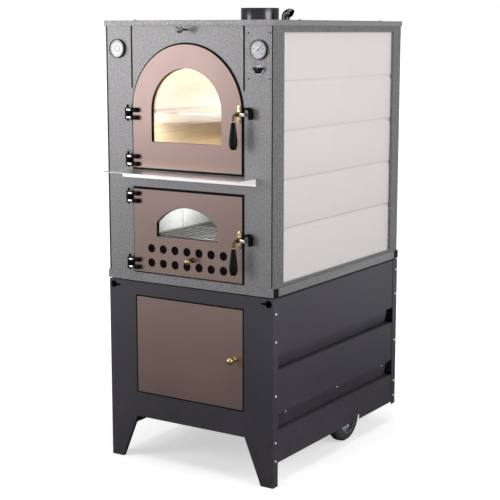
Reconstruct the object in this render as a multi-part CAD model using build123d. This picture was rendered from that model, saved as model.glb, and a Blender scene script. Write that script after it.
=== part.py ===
from build123d import *
from math import cos, pi, sin
import os

# A wood-fired deck oven on its trolley, in millimetres, +Z up.  The origin is on the floor under the
# middle of the whole object's box.  Depths are counted back from the front face of the oven body.

# ---- driving dimensions ----
BODY_WIDTH = 745.0
BODY_DEPTH = 994.0
LID_TOP = 1700.0
SHELF_REACH = 120.0
OVERHANG = 3.5
SHEET = 2.0
FRONT_Y = (SHELF_REACH - BODY_DEPTH - OVERHANG) / 2
HALF_BODY = BODY_WIDTH / 2
HALF_RIM = HALF_BODY + OVERHANG
PANEL_HALF = HALF_BODY - 7.5
BODY_REAR = BODY_DEPTH + OVERHANG
SIDES = (-1, 1)

# lid, base rim and its cross tubes
LID_LIP = 20.0
RIM_TOP = 750.0
RIM_BOTTOM = 717.0
TUBE = 30.0
TUBE_FRONTS = (0.0, BODY_DEPTH - TUBE)
CAP_HEAD = 3.0
LID_SCREWS = [(s * 241.0, d) for s in SIDES for d in (10.0, 984.0)]
LID_SCREWS += [(s * 362.0, d) for s in SIDES for d in (193.0, 823.0)]

# body side: frame opening and the ribbed panel behind it
OPENING_FRONT = 73.0
OPENING_REAR = 931.0
OPENING_BOTTOM = 758.0
OPENING_TOP = 1657.0
PANEL_RECESS = 11.5
GROOVE_TOP = 1478.0
GROOVE_PITCH = 176.5
GROOVES = 4

# upper door: a round arch; lower door: a rectangle with a low arched window
ARCH_Z = 1370.0
FRAME_R = 250.0
SLEEVE_R = 238.5
PLATE_R = 243.5
PAN_R = 226.0
WINDOW_R = 157.0
UPPER_FRAME_BOTTOM = 1146.0
UPPER_PLATE_BOTTOM = 1155.0
UPPER_WINDOW_BOTTOM = 1254.0
LOWER_FRAME = (752.0, 1082.0)
LOWER_PLATE = (757.0, 1073.0)
LOWER_PLATE_HALF = 245.0
LOWER_WINDOW = (897.5, 950.0)
LOWER_WINDOW_HALF = 139.0
LOWER_WINDOW_RISE = 64.0
SLEEVE_INSET = FRAME_R - SLEEVE_R
SLEEVE_WALL = 5.0
SLEEVE_DEPTH = 20.0
PLATE_FRONT = -7.0
PLATE_BACK = -4.0
PAN_BACK = 12.0
GLASS_FRONT = 6.0
GLASS_LAP = 9.0
COLLAR_WALL = 4.0

# air holes of the lower door and the sliding shutter behind them
HOLE_R = 16.5
HOLE_PITCH = 54.6
HOLE_COLUMNS = 7
HOLE_ROWS = (795.0, 850.0)
HOLE_XS = [(i - (HOLE_COLUMNS - 1) / 2) * HOLE_PITCH for i in range(HOLE_COLUMNS)]
SHUTTER_TRAVEL = HOLE_PITCH / 2
SHUTTER_SLOT = (20.5, 29.0)
SHUTTER_Z = (778.6, 872.0)
KNOB_Z = sum(HOLE_ROWS) / 2
STEM_R = 3.5

# hinges
HINGE_X = -262.0
HINGE_DEPTH = -14.0
UPPER_HINGES = (1356.0, 1182.0)
LOWER_HINGES = (1042.0, 788.0)
LUG_HEIGHT = 16.5
LUG_END = -214.0
LUG_FRONT = -21.0
EYE_R = 10.5
BRACKET_HALF = 5.5
LUG_GAP = 6.0
PIN_R = 3.5
RUN = 0.05

# latches
LATCH_X = 235.0
UPPER_LATCH_Z = 1368.7
LOWER_LATCH_Z = 916.0
LATCH_PLATE = (14.0, 64.0, 3.0)
LATCH_HUB_R = 8.5
LATCH_PIN_R = 4.0
ARM_R = 5.0
ARM_REACH = -48.0
ARM_BEND = 12.0
GRIP_TOP = 26.0
GRIP_LENGTH = 99.0
NOSE_END = 33.0
CATCH_X = 272.0
CATCH_RISE = 8.0
CATCH_R = (10.0, 18.0)
CATCH_DEPTH = 26.0
CATCH_FOOT = 17.0

# instruments on the right of the front
DIAL_X = 314.0
DIAL_Z = 1596.5
SWITCH_Z = 1526.0
BEZEL_R = 35.0
DIAL_R = 31.0
NEEDLE_ANGLE = 40.0
PLATE_BOX = (261.0, 366.0, 1489.5, 1658.5)
PLATE_SCREWS = [(x, z) for x in (269.5, 359.5) for z in (1495.5, 1654.5)]

# chamber, firebox and smoke path
CHAMBER_R = 232.0
CHAMBER_BOTTOM = 1164.0
CHAMBER_BACK = 820.0
CHAMBER_WALL = 3.0
ROOF_STRIPS = 8
MOUTH_R = 204.0
MOUTH_BOTTOM = 1192.0
JACKET_R = 275.0
JACKET_BOTTOM = 1078.0
JACKET_BACK = 900.0
BLANKET = (277.0, 303.0)
FIREBOX_HALF = 226.0
FIREBOX_BOTTOM = 760.0
RACK_Z = 1357.0
FLUE_DEPTH = 500.0
FLUE_R = 75.0
FLUE_TOP = 1750.0
VENT_X = 118.0
VENT_R = 16.5
VENT_BEND = 18.0
VENT_TURN = 120.0
VENT_SPRING = 1712.0
DAMPER_Z = 1666.0
DAMPER_ROD_R = 4.0

# trolley
TROLLEY_TOP = 712.0
HALF_TROLLEY = 375.0
LEG_CUT = 176.0
LEG_TOP_HALF = 250.0
FOOT_INNER = 322.0
CUPBOARD = (248.0, 272.0, 662.0)
CUPBOARD_DOOR = (242.0, 278.0, 656.0)
DOOR_FOLD = 18.0
CUPBOARD_PIN = (-236.0, 9.0)
FLANGE = 34.0
POST_BOTTOM = 80.0
BOARDS = ((708.0, 506.0), (441.0, 277.0), (212.0, 90.0))
FLAP = (20.0, 61.0)
FLAP_ENDS = (38.0, 931.0)
FLAP_MITRE = 22.0
BOARD_LIP = 32.0
NOTCH = (656.0, 679.0, 110.0)
FRONT_BOLTS = (653.0, 549.0, 346.0, 168.5, 98.5)
REAR_BOLTS = (665.0, 561.0, 360.0, 181.0, 114.5)
FLOOR_Z = 264.0
AXLE_DEPTH = 645.0
AXLE_R = 10.0
TYRE_R = 100.0
TYRE_WIDTH = 54.0
WHEEL_X = 314.0
RIM_R = 66.0
BRACKET_X = 276.0


# ---- helpers ----
def block(x0, x1, d0, d1, z0, z1):
    """A box between two x, two depths and two heights."""
    centre = Pos((x0 + x1) / 2, FRONT_Y + (d0 + d1) / 2, (z0 + z1) / 2)
    return centre * Box(abs(x1 - x0), abs(d1 - d0), abs(z1 - z0))


def plate(outline, d0, d1):
    """An upright outline (x, z) filled between two depths."""
    return extrude(Plane.XZ.offset(-(FRONT_Y + d1)) * outline, d1 - d0)


def rod_y(x, z, r, d0, d1):
    return plate(Pos(x, z) * Circle(r), d0, d1)


def rod_x(depth, z, r, x0, x1):
    return extrude(Plane.YZ.offset(x0) * Pos(FRONT_Y + depth, z) * Circle(r), x1 - x0)


def rod_z(x, depth, r, z0, z1):
    return extrude(Plane.XY.offset(z0) * Pos(x, FRONT_Y + depth) * Circle(r), z1 - z0)


def arch(half, spring, bottom, rise=None):
    """A door outline: straight sides up to the springing, then a round or segmental top."""
    top = half if rise is None else rise
    sides = Polyline((-half, spring), (-half, bottom), (half, bottom), (half, spring))
    crown = ThreePointArc((half, spring), (0, spring + top), (-half, spring))
    return make_face(sides.edges() + crown.edges())


def rect(half, bottom, top):
    return Pos(0, (bottom + top) / 2) * Rectangle(2 * half, top - bottom)


def polygon(*points):
    return make_face(Polyline(*points, close=True).edges())


def turned(points, x, depth, z):
    """A solid of revolution about the vertical line at x and depth; points are (radius, height)."""
    profile = polygon((0, points[0][1]), *points, (0, points[-1][1]))
    return Pos(x, FRONT_Y + depth, z) * revolve(Plane.XZ * profile, Axis.Z)


def turned_y(points, x, z):
    """A solid of revolution about a front-to-back line; points are (radius, depth)."""
    profile = polygon((0, points[0][1]), *points, (0, points[-1][1]))
    return Pos(x, FRONT_Y, z) * revolve(Plane.XY * profile, Axis.Y)


def both(solid):
    return [solid, mirror(solid, about=Plane.YZ)]


def save(node, *solids):
    group = []
    for item in solids:
        group.extend(item.solids())
    shape = group[0] if len(group) == 1 else Compound(children=group)
    export_step(shape, f"parts/{node}.step")


def dome(points_xyz, normal, r, h):
    """Low round screw heads standing on a face."""
    heads = []
    for x, y, z in points_xyz:
        base = Plane(origin=(x, y, z), z_dir=normal)
        head = extrude(base * Circle(r), h)
        heads.append(fillet(head.edges().sort_by(lambda e: -(e.center() - Vector(x, y, z)).length)[0], h * 0.7))
    return heads


# ---- oven casing ----
def lid():
    body = block(-HALF_RIM, HALF_RIM, -OVERHANG, BODY_REAR, LID_TOP - LID_LIP, LID_TOP)
    inner = HALF_RIM - SHEET
    body -= block(-inner, inner, SHEET - OVERHANG, BODY_REAR - SHEET, LID_TOP - LID_LIP, LID_TOP - SHEET)
    body -= rod_z(0, FLUE_DEPTH, FLUE_R - SHEET + 0.4, LID_TOP - LID_LIP, LID_TOP + 1)
    body -= rod_z(VENT_X, FLUE_DEPTH, VENT_R + 0.3, LID_TOP - LID_LIP, LID_TOP + 1)
    save("lid", body)


def black_screws():
    lid_points = [(x, FRONT_Y + d, LID_TOP) for x, d in LID_SCREWS]
    plate_points = [(x, FRONT_Y - 1.5, z) for x, z in PLATE_SCREWS]
    heads = dome(lid_points, (0, 0, 1), 5.0, 3.2)
    heads += dome(plate_points, (0, -1, 0), 3.0, 1.8)
    save("black_screws", *heads)


def front_panel():
    sheet = rect(PANEL_HALF, RIM_TOP, LID_TOP - SHEET)
    sheet -= arch(SLEEVE_R + 0.5, ARCH_Z, UPPER_FRAME_BOTTOM + SLEEVE_INSET - 0.5)
    inset = SLEEVE_INSET - 0.5
    sheet -= rect(SLEEVE_R + 0.5, LOWER_FRAME[0] + inset, LOWER_FRAME[1] - inset)
    for side in SIDES:
        sheet -= Pos(side * 250.0, 1575.0) * Rectangle(7.0, 246.0)
    sheet -= Pos(DIAL_X, DIAL_Z) * Circle(33.0)
    sheet -= Pos(DIAL_X, SWITCH_Z) * Circle(12.0)
    sheet -= Pos(0, DAMPER_Z) * Circle(DAMPER_ROD_R + RUN)
    save("front_panel", plate(sheet, 0, SHEET))


def side_frames():
    wall = 3.0
    outer = block(HALF_BODY - wall, HALF_BODY, 0, BODY_DEPTH, RIM_TOP, LID_TOP - SHEET)
    jambs = block(HALF_BODY - PANEL_RECESS, HALF_BODY, OPENING_FRONT - wall, OPENING_REAR + wall,
                  OPENING_BOTTOM - wall, OPENING_TOP + wall)
    hole = block(0, HALF_RIM, OPENING_FRONT, OPENING_REAR, OPENING_BOTTOM, OPENING_TOP)
    top = LID_TOP - SHEET
    flange = block(348.0, PANEL_HALF - 3, SHEET, 2 * SHEET, RIM_TOP, top)
    flange += block(PANEL_HALF - 5, PANEL_HALF - 3, SHEET, 14, RIM_TOP, top)
    flange += block(PANEL_HALF - 5, HALF_BODY, 12, 14, RIM_TOP, top)
    frame = outer + jambs + flange - hole
    save("side_frames", *both(frame))


def side_panels():
    face = HALF_BODY - PANEL_RECESS
    bottom, top = OPENING_BOTTOM - 6, OPENING_TOP + 6
    outer = [(face, bottom)]
    for i in reversed(range(GROOVES)):
        z = GROOVE_TOP - i * GROOVE_PITCH
        outer += [(face, z - 6), (face - 5, z), (face, z + 6)]
    outer.append((face, top))
    inner = [(x - SHEET, z) for x, z in reversed(outer)]
    profile = polygon(*outer, *inner)
    save("side_panels", *both(plate(profile, OPENING_FRONT - 10, OPENING_REAR + 10)))


def rear_panel():
    save("rear_panel", plate(rect(HALF_BODY - 3.0, RIM_TOP, LID_TOP - SHEET), BODY_DEPTH - 4, BODY_DEPTH - 2))


def base_frame():
    wall = 3.0
    inner = HALF_RIM - wall
    rim = block(-HALF_RIM, HALF_RIM, -OVERHANG, BODY_REAR, RIM_BOTTOM, RIM_TOP)
    rim -= block(-inner, inner, wall - OVERHANG, BODY_REAR - wall, RIM_BOTTOM, RIM_TOP - wall)
    lip = 22.0
    rim -= block(-HALF_RIM + lip, HALF_RIM - lip, lip, BODY_DEPTH - lip, RIM_TOP - wall, RIM_TOP)
    tubes = []
    for front in TUBE_FRONTS:
        tube = block(-HALF_RIM, HALF_RIM, front, front + TUBE, RIM_BOTTOM, RIM_BOTTOM + TUBE)
        rim -= tube
        tube -= block(-HALF_RIM, HALF_RIM, front + SHEET, front + TUBE - SHEET,
                      RIM_BOTTOM + SHEET, RIM_BOTTOM + TUBE - SHEET)
        tubes.append(tube)
    save("base_frame", rim, *tubes)


def tube_end_caps():
    caps = []
    for front in TUBE_FRONTS:
        head = block(HALF_RIM, HALF_RIM + CAP_HEAD, front, front + TUBE, RIM_BOTTOM, RIM_BOTTOM + TUBE)
        head = fillet(head.edges().filter_by(Axis.X), 2.0)
        plug = block(HALF_RIM - 14, HALF_RIM, front + 2.2, front + TUBE - 2.2,
                     RIM_BOTTOM + 2.2, RIM_BOTTOM + TUBE - 2.2)
        caps += both(head + plug)
    save("tube_end_caps", *caps)


def shelf():
    top = UPPER_FRAME_BOTTOM - 2
    body = block(-301, 301, -SHELF_REACH, 0, top - SHEET, top)
    body += block(-301, 301, -SHEET, 0, top - 30, top)
    save("shelf", body)


# ---- instruments ----
def instrument_plate():
    x0, x1, z0, z1 = PLATE_BOX
    sheet = Pos((x0 + x1) / 2, (z0 + z1) / 2) * Rectangle(x1 - x0, z1 - z0)
    sheet -= Pos(DIAL_X, DIAL_Z) * Circle(33.0)
    sheet -= Pos(DIAL_X, SWITCH_Z) * Circle(12.0)
    save("instrument_plate", plate(sheet, -1.5, 0))


def thermometer():
    case = rod_y(DIAL_X, DIAL_Z, BEZEL_R, -11, -1.5) + rod_y(DIAL_X, DIAL_Z, 32.5, -1.5, 18)
    case -= rod_y(DIAL_X, DIAL_Z, DIAL_R + 0.2, -11, -7)
    save("thermometer_case", case)
    dial = rod_y(DIAL_X, DIAL_Z, DIAL_R, -8, -7) + rod_y(DIAL_X, DIAL_Z, 0.8, -10, -8)
    save("thermometer_dial", dial)
    pointer = polygon((-7, -1.6), (-7, 1.6), (25, 0.6), (25, -0.6))
    needle = (Rot(0, 0, NEEDLE_ANGLE) * pointer) + Circle(3.2) - Circle(0.8 + RUN)
    save("thermometer_needle", plate(Pos(DIAL_X, DIAL_Z) * needle, -9.4, -8.5))


def rotary_switch():
    bezel = rod_y(DIAL_X, SWITCH_Z, 17.5, -4.5, -1.5) + rod_y(DIAL_X, SWITCH_Z, 11.5, -1.5, 16)
    bezel -= rod_y(DIAL_X, SWITCH_Z, 3 + RUN, -4.5, 12)
    save("switch_bezel", bezel)
    wings = polygon((-22, 9.5), (22, 9.5), (20, 4), (8, -12), (-8, -12), (-20, 4))
    knob = plate(Pos(DIAL_X, SWITCH_Z) * wings, -13, -5)
    knob += rod_y(DIAL_X, SWITCH_Z, 3, -5, 10)
    save("switch_knob", knob)


def badge():
    disc = rod_y(-DIAL_X, DIAL_Z, BEZEL_R, -9, 0) - rod_y(-DIAL_X, DIAL_Z, DIAL_R, -9, -7)
    save("badge", disc)


# ---- fixed door frames, hinges and catches ----
def door_frames():
    inner = SLEEVE_R - SLEEVE_WALL
    gap = FRAME_R - inner
    upper = plate(arch(FRAME_R, ARCH_Z, UPPER_FRAME_BOTTOM), -3, 0)
    upper += plate(arch(SLEEVE_R, ARCH_Z, UPPER_FRAME_BOTTOM + SLEEVE_INSET), 0, SLEEVE_DEPTH)
    upper -= plate(arch(inner, ARCH_Z, UPPER_FRAME_BOTTOM + gap), -3, SLEEVE_DEPTH)
    bottom, top = LOWER_FRAME
    lower = plate(rect(FRAME_R, bottom, top), -3, 0)
    lower += plate(rect(SLEEVE_R, bottom + SLEEVE_INSET, top - SLEEVE_INSET), 0, SLEEVE_DEPTH)
    lower -= plate(rect(inner, bottom + gap, top - gap), -3, SLEEVE_DEPTH)
    save("door_frames", upper, lower)


def door_gaskets():
    upper = arch(222, ARCH_Z, 1174) - arch(207, ARCH_Z, 1189)
    lower = rect(222, 778, 1054) - rect(208, 784, 1040)
    save("door_gaskets", plate(upper, PAN_BACK + 0.6, SLEEVE_DEPTH), plate(lower, PAN_BACK + 0.6, SLEEVE_DEPTH))


def frame_hinges():
    pieces = []
    for z in UPPER_HINGES + LOWER_HINGES:
        bracket = rod_z(HINGE_X, HINGE_DEPTH, EYE_R, z - BRACKET_HALF, z + BRACKET_HALF)
        bracket += block(HINGE_X - EYE_R, HINGE_X + EYE_R, HINGE_DEPTH, 0, z - BRACKET_HALF, z + BRACKET_HALF)
        bracket -= rod_z(HINGE_X, HINGE_DEPTH, PIN_R, z - BRACKET_HALF, z + BRACKET_HALF)
        pieces += [bracket, rod_z(HINGE_X, HINGE_DEPTH, PIN_R, z - 28, z + 33)]
    x, depth = CUPBOARD_PIN
    pieces.append(rod_z(x, depth, 3, CUPBOARD[2] - 12, CUPBOARD[2]))
    pieces.append(rod_z(x, depth, 3, CUPBOARD[1], CUPBOARD[1] + 12))
    save("frame_hinges", *pieces)


def catch(z):
    inner, outer = CATCH_R
    spring = z + CATCH_RISE
    ring = Pos(CATCH_X, spring) * (Circle(outer) - Circle(inner))
    ring &= Pos(CATCH_X, spring + outer / 2) * Rectangle(2 * outer, outer)
    leg = Pos(CATCH_X + (inner + outer) / 2, (spring + z - CATCH_FOOT) / 2)
    ring += leg * Rectangle(outer - inner, spring - z + CATCH_FOOT)
    return plate(ring, -CATCH_DEPTH, 0)


# ---- doors ----
def lugs(heights):
    pieces = []
    for z in heights:
        for low in (z + LUG_GAP, z - LUG_GAP - LUG_HEIGHT):
            bar = block(HINGE_X, LUG_END, LUG_FRONT, PLATE_FRONT, low, low + LUG_HEIGHT)
            bar = fillet(bar.edges().filter_by(Axis.Z).group_by(Axis.X)[-1].sort_by(Axis.Y)[0], 5.0)
            bar += rod_z(HINGE_X, HINGE_DEPTH, EYE_R, low, low + LUG_HEIGHT)
            bar -= rod_z(HINGE_X, HINGE_DEPTH, PIN_R + RUN, low, low + LUG_HEIGHT)
            pieces.append(bar)
    return pieces


def upper_door():
    window = arch(WINDOW_R, ARCH_Z, UPPER_WINDOW_BOTTOM)
    save("upper_door_plate", plate(arch(PLATE_R, ARCH_Z, UPPER_PLATE_BOTTOM) - window, PLATE_FRONT, PLATE_BACK))
    bottom = UPPER_FRAME_BOTTOM + FRAME_R - PAN_R
    pan = plate(arch(PAN_R, ARCH_Z, bottom), PLATE_BACK, PAN_BACK)
    pan -= plate(arch(PAN_R - SHEET, ARCH_Z, bottom + SHEET), PLATE_BACK, PAN_BACK - SHEET)
    pan -= plate(window, PLATE_BACK, PAN_BACK)
    collar = arch(WINDOW_R + COLLAR_WALL, ARCH_Z, UPPER_WINDOW_BOTTOM - COLLAR_WALL) - window
    save("upper_door_pan", pan, plate(collar, PLATE_BACK, GLASS_FRONT))
    glass = arch(WINDOW_R + GLASS_LAP, ARCH_Z, UPPER_WINDOW_BOTTOM - GLASS_LAP)
    save("upper_door_glass", plate(glass, GLASS_FRONT, PAN_BACK - SHEET))
    save("upper_door_lugs", *lugs(UPPER_HINGES))


def air_holes():
    holes = Sketch()
    for x in HOLE_XS:
        for z in HOLE_ROWS:
            holes += Pos(x, z) * Circle(HOLE_R)
    return holes


def lower_door():
    sill, spring = LOWER_WINDOW
    window = arch(LOWER_WINDOW_HALF, spring, sill, LOWER_WINDOW_RISE)
    face = rect(LOWER_PLATE_HALF, *LOWER_PLATE) - window - air_holes()
    slot_centre = SHUTTER_TRAVEL / 2
    face -= Pos(slot_centre, KNOB_Z) * Rectangle(SHUTTER_TRAVEL + 2 * STEM_R + 1, 2 * STEM_R + 0.8)
    save("lower_door_plate", plate(face, PLATE_FRONT, PLATE_BACK))
    bottom = LOWER_FRAME[0] + FRAME_R - PAN_R
    top = LOWER_FRAME[1] - FRAME_R + PAN_R
    pan = plate(rect(PAN_R, bottom, top), PLATE_BACK, PAN_BACK)
    pan -= plate(rect(PAN_R - SHEET, bottom + SHEET, top - SHEET), PLATE_BACK, PAN_BACK - SHEET)
    wall = COLLAR_WALL
    collar = arch(LOWER_WINDOW_HALF + wall, spring, sill - wall, LOWER_WINDOW_RISE + wall) - window
    pan -= plate(window, PLATE_BACK, PAN_BACK)
    pan -= plate(air_holes(), PAN_BACK - SHEET, PAN_BACK)
    save("lower_door_pan", pan, plate(collar, PLATE_BACK, GLASS_FRONT))
    lap = GLASS_LAP
    glass = arch(LOWER_WINDOW_HALF + lap, spring, sill - lap, LOWER_WINDOW_RISE + lap)
    save("lower_door_glass", plate(glass, GLASS_FRONT, PAN_BACK - SHEET))
    save("lower_door_lugs", *lugs(LOWER_HINGES))


def air_shutter():
    """Closed at rest: its slots stand over the lands between the holes."""
    low, high = SHUTTER_Z
    sheet = Pos(15, (low + high) / 2) * Rectangle(394, high - low)
    for x in HOLE_XS:
        for z in HOLE_ROWS:
            sheet -= Pos(x + SHUTTER_TRAVEL, z) * Rectangle(*SHUTTER_SLOT)
    back = PLATE_BACK + 0.4
    slide = plate(sheet, back, back + 1.5)
    slide += rod_y(SHUTTER_TRAVEL, KNOB_Z, STEM_R, -34, back)
    save("air_shutter", slide)
    outline = [(10, -7.6), (10, -11), (6, -14), (6, -33), (10, -37), (12, -43), (11, -49), (7, -53), (3, -54.5)]
    knob = turned_y(outline, SHUTTER_TRAVEL, KNOB_Z)
    knob -= rod_y(SHUTTER_TRAVEL, KNOB_Z, STEM_R, -34, 0)
    save("shutter_knob", knob)


# ---- latches ----
def latch(name, z):
    width, height, thick = LATCH_PLATE
    straight = height - width
    outline = Pos(LATCH_X, z) * (Rectangle(width, straight) + Pos(0, straight / 2) * Circle(width / 2)
                                 + Pos(0, -straight / 2) * Circle(width / 2))
    front = PLATE_FRONT - thick
    bracket = plate(outline, front, PLATE_FRONT)
    bracket += rod_y(LATCH_X, z, LATCH_PIN_R, front - 12, front)
    for dz in (-22, 22):
        bracket += rod_y(LATCH_X, z + dz, 4.0, front - 1.8, front)
    save(f"{name}_latch_bracket", bracket)
    hub_back = front - 0.4
    hub_front = hub_back - 14
    hub = rod_y(LATCH_X, z, LATCH_HUB_R, hub_front, hub_back)
    hub += plate(Pos(LATCH_X + NOSE_END / 2, z) * Rectangle(NOSE_END - 12, 12), hub_front + 2, hub_back - 2)
    hub += rod_y(LATCH_X + NOSE_END - 6, z, 6.0, hub_front + 2, hub_back - 2)
    hub -= rod_y(LATCH_X, z, LATCH_PIN_R + RUN, hub_back - 12.5, hub_back)
    corner = ARM_REACH + ARM_BEND
    arm = rod_y(LATCH_X, z, ARM_R, corner, hub_front)
    bend_axis = Axis((LATCH_X, FRONT_Y + corner, z - ARM_BEND), (1, 0, 0))
    section = Plane(origin=(LATCH_X, FRONT_Y + corner, z), z_dir=(0, -1, 0)) * Circle(ARM_R)
    arm += revolve(section, bend_axis, 90)
    arm += rod_z(LATCH_X, ARM_REACH, ARM_R, z - GRIP_TOP, z - ARM_BEND)
    arm += rod_z(LATCH_X, ARM_REACH, 7.0, z - GRIP_TOP, z - GRIP_TOP + 5)
    bottom = -GRIP_TOP - GRIP_LENGTH
    nut = turned([(5.5, bottom), (5.5, bottom - 2), (3.5, bottom - 5)], LATCH_X, ARM_REACH, z)
    save(f"{name}_latch_lever", hub + arm, nut)
    top = -GRIP_TOP
    outline = [(6.0, bottom), (11.0, bottom + 5), (14.5, bottom + 16), (15.5, bottom + 28),
               (14.0, bottom + 48), (11.0, bottom + 72), (8.5, top - 8), (7.0, top)]
    save(f"{name}_latch_grip", turned(outline, LATCH_X, ARM_REACH, z))


# ---- inside the oven ----
def baking_chamber():
    """Welded from sheets: floor, two walls, back, mouth frame, and a roof rolled in strips."""
    near = SLEEVE_DEPTH + SHEET
    wall = CHAMBER_R - CHAMBER_WALL
    floor_top = CHAMBER_BOTTOM + CHAMBER_WALL
    sheets = [block(-CHAMBER_R, CHAMBER_R, near, CHAMBER_BACK, CHAMBER_BOTTOM, floor_top)]
    sheets += both(block(wall, CHAMBER_R, near, CHAMBER_BACK, floor_top, ARCH_Z))
    sheets.append(plate(arch(CHAMBER_R, ARCH_Z, CHAMBER_BOTTOM), CHAMBER_BACK, CHAMBER_BACK + CHAMBER_WALL))
    roof = plate(Pos(0, ARCH_Z) * (Circle(CHAMBER_R) - Circle(wall)), near, CHAMBER_BACK)
    roof -= rod_z(VENT_X, FLUE_DEPTH, VENT_R + 0.2, ARCH_Z + 100, LID_TOP)
    reach = CHAMBER_R * 1.2
    for i in range(ROOF_STRIPS):
        edges = [pi * i / ROOF_STRIPS, pi * (i + 1) / ROOF_STRIPS]
        wedge = polygon((0, 0), *[(reach * cos(a), reach * sin(a)) for a in edges])
        sheets.append(roof & plate(Pos(0, ARCH_Z) * wedge, near, CHAMBER_BACK))
    outer = SLEEVE_R - 0.5
    sill = block(-outer, outer, SLEEVE_DEPTH, near, CHAMBER_BOTTOM - 6, MOUTH_BOTTOM)
    sheets.append(sill)
    sheets += both(block(MOUTH_R, outer, SLEEVE_DEPTH, near, MOUTH_BOTTOM, ARCH_Z))
    brow = Pos(0, ARCH_Z) * (Circle(outer) - Circle(MOUTH_R))
    sheets.append(plate(brow & (Pos(0, ARCH_Z + outer / 2) * Rectangle(2 * outer, outer)), SLEEVE_DEPTH, near))
    sheets += both(block(wall - 26, wall, 60, 760, RACK_Z - 7, RACK_Z - 5))
    save("baking_chamber", *sheets)


def refractory_bricks():
    pieces = []
    length = (CHAMBER_BACK - 32) / 3
    for i in range(3):
        near = 26 + i * length
        tile = block(1, 226, near, near + length - 2, CHAMBER_BOTTOM + CHAMBER_WALL, 1197)
        pieces += both(fillet(tile.edges().filter_by(Axis.Z), 3.0))
    for i in range(3):
        near = 60 + i * 195
        pieces += both(block(201, 221, near, near + 193, 893, 1010))
    save("refractory_bricks", *pieces)


def baking_rack():
    half, near, far = 214.0, 80.0, 740.0
    rack = rod_x(near, RACK_Z, 4, -half, half) + rod_x(far, RACK_Z, 4, -half, half)
    for side in SIDES:
        rack += rod_y(side * (half - 2), RACK_Z, 4, near, far)
    wires = 15
    for i in range(wires):
        x = (i - (wires - 1) / 2) * 26.0
        rack += rod_y(x, RACK_Z, 2.5, near, far)
    save("baking_rack", rack)


def oven_lamp():
    holder = rod_y(-150, 1440, 32, CHAMBER_BACK - 8, CHAMBER_BACK)
    lens = Pos(-150, FRONT_Y + CHAMBER_BACK - 8, 1440) * Sphere(26)
    lens &= block(-190, -110, CHAMBER_BACK - 40, CHAMBER_BACK - 8, 1400, 1480)
    save("oven_lamp", holder + lens)


def smoke_jacket():
    shell = plate(arch(JACKET_R, ARCH_Z, JACKET_BOTTOM), 24, JACKET_BACK + CHAMBER_WALL)
    inner = arch(JACKET_R - CHAMBER_WALL, ARCH_Z, JACKET_BOTTOM + CHAMBER_WALL)
    shell -= plate(inner, 24 + CHAMBER_WALL, JACKET_BACK)
    shell -= plate(arch(CHAMBER_R + 0.5, ARCH_Z, CHAMBER_BOTTOM - 0.5), 24, 24 + CHAMBER_WALL)
    shell += rod_z(0, FLUE_DEPTH, FLUE_R, ARCH_Z + 262, DAMPER_Z - 5)
    shell -= rod_z(0, FLUE_DEPTH, FLUE_R - SHEET, ARCH_Z + 236, LID_TOP)
    shell -= rod_z(VENT_X, FLUE_DEPTH, VENT_R + 0.2, ARCH_Z + 200, LID_TOP)
    shell -= block(-180, 180, 700, 880, JACKET_BOTTOM - 1, JACKET_BOTTOM + CHAMBER_WALL + 1)
    save("smoke_jacket", shell)


def insulation_blanket():
    inner, outer = BLANKET
    low = JACKET_BOTTOM + 12
    blanket = plate(arch(outer, ARCH_Z, low) - arch(inner, ARCH_Z, low), 28, JACKET_BACK)
    blanket -= block(-85, 85, 28, FLUE_DEPTH + 90, ARCH_Z + 250, LID_TOP)
    blanket -= rod_z(VENT_X, FLUE_DEPTH, VENT_R + 2, ARCH_Z + 200, LID_TOP)
    save("insulation_blanket", blanket)


def firebox():
    wall = CHAMBER_WALL
    top = JACKET_BOTTOM - 0.5
    box = block(-FIREBOX_HALF, FIREBOX_HALF, SLEEVE_DEPTH, JACKET_BACK, FIREBOX_BOTTOM, top)
    inner = FIREBOX_HALF - wall
    box -= block(-inner, inner, SLEEVE_DEPTH + wall, JACKET_BACK - wall, FIREBOX_BOTTOM + wall, top - wall)
    box -= block(-204, 204, SLEEVE_DEPTH, SLEEVE_DEPTH + wall, 786, 1036)
    box -= block(-180, 180, 700, 880, top - wall - 1, top + 1)
    for ledge in both(block(200, inner, 60, 645, 884, 892)):
        box += ledge
    save("firebox", box)


def fire_grate():
    grate = block(-199, 199, 60, 560, 880, 892)
    slots = 11
    for i in range(slots):
        x = (i - (slots - 1) / 2) * 34.0
        for near in (80, 330):
            grate -= block(x - 9, x + 9, near, near + 210, 879, 893)
    save("fire_grate", grate)


def ash_drawer():
    drawer = block(-180, 180, 50, 560, 766, 850)
    drawer -= block(-178, 178, 52, 558, 768, 850)
    drawer += block(-60, 60, 36, 50, 826, 830)
    save("ash_drawer", drawer)


def flue_collar():
    """The spigot above the lid, with a narrower throat below it that ends over the damper."""
    throat_r = FLUE_R - SHEET
    tube = rod_z(0, FLUE_DEPTH, FLUE_R, LID_TOP, FLUE_TOP)
    tube += rod_z(0, FLUE_DEPTH, throat_r, DAMPER_Z + 5, LID_TOP)
    tube -= rod_z(0, FLUE_DEPTH, throat_r, LID_TOP + SHEET, FLUE_TOP)
    tube -= rod_z(0, FLUE_DEPTH, throat_r - 2.5, DAMPER_Z + 5, LID_TOP + SHEET)
    save("flue_collar", tube)


def damper():
    thick = 1.5
    reach = 105
    disc = rod_z(0, FLUE_DEPTH, 72, DAMPER_Z - thick, DAMPER_Z + thick)
    disc += block(-60, 60, FLUE_DEPTH - reach, FLUE_DEPTH, DAMPER_Z - thick, DAMPER_Z + thick)
    rod = rod_y(0, DAMPER_Z, DAMPER_ROD_R, -34, FLUE_DEPTH - reach + 30)
    knob = turned_y([(6, -24), (7, -30), (12, -35), (13.5, -40), (13, -47), (9.5, -52), (4, -54)], 0, DAMPER_Z)
    knob -= rod_y(0, DAMPER_Z, DAMPER_ROD_R, -34, 0)
    save("damper", disc + rod, knob)


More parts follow.
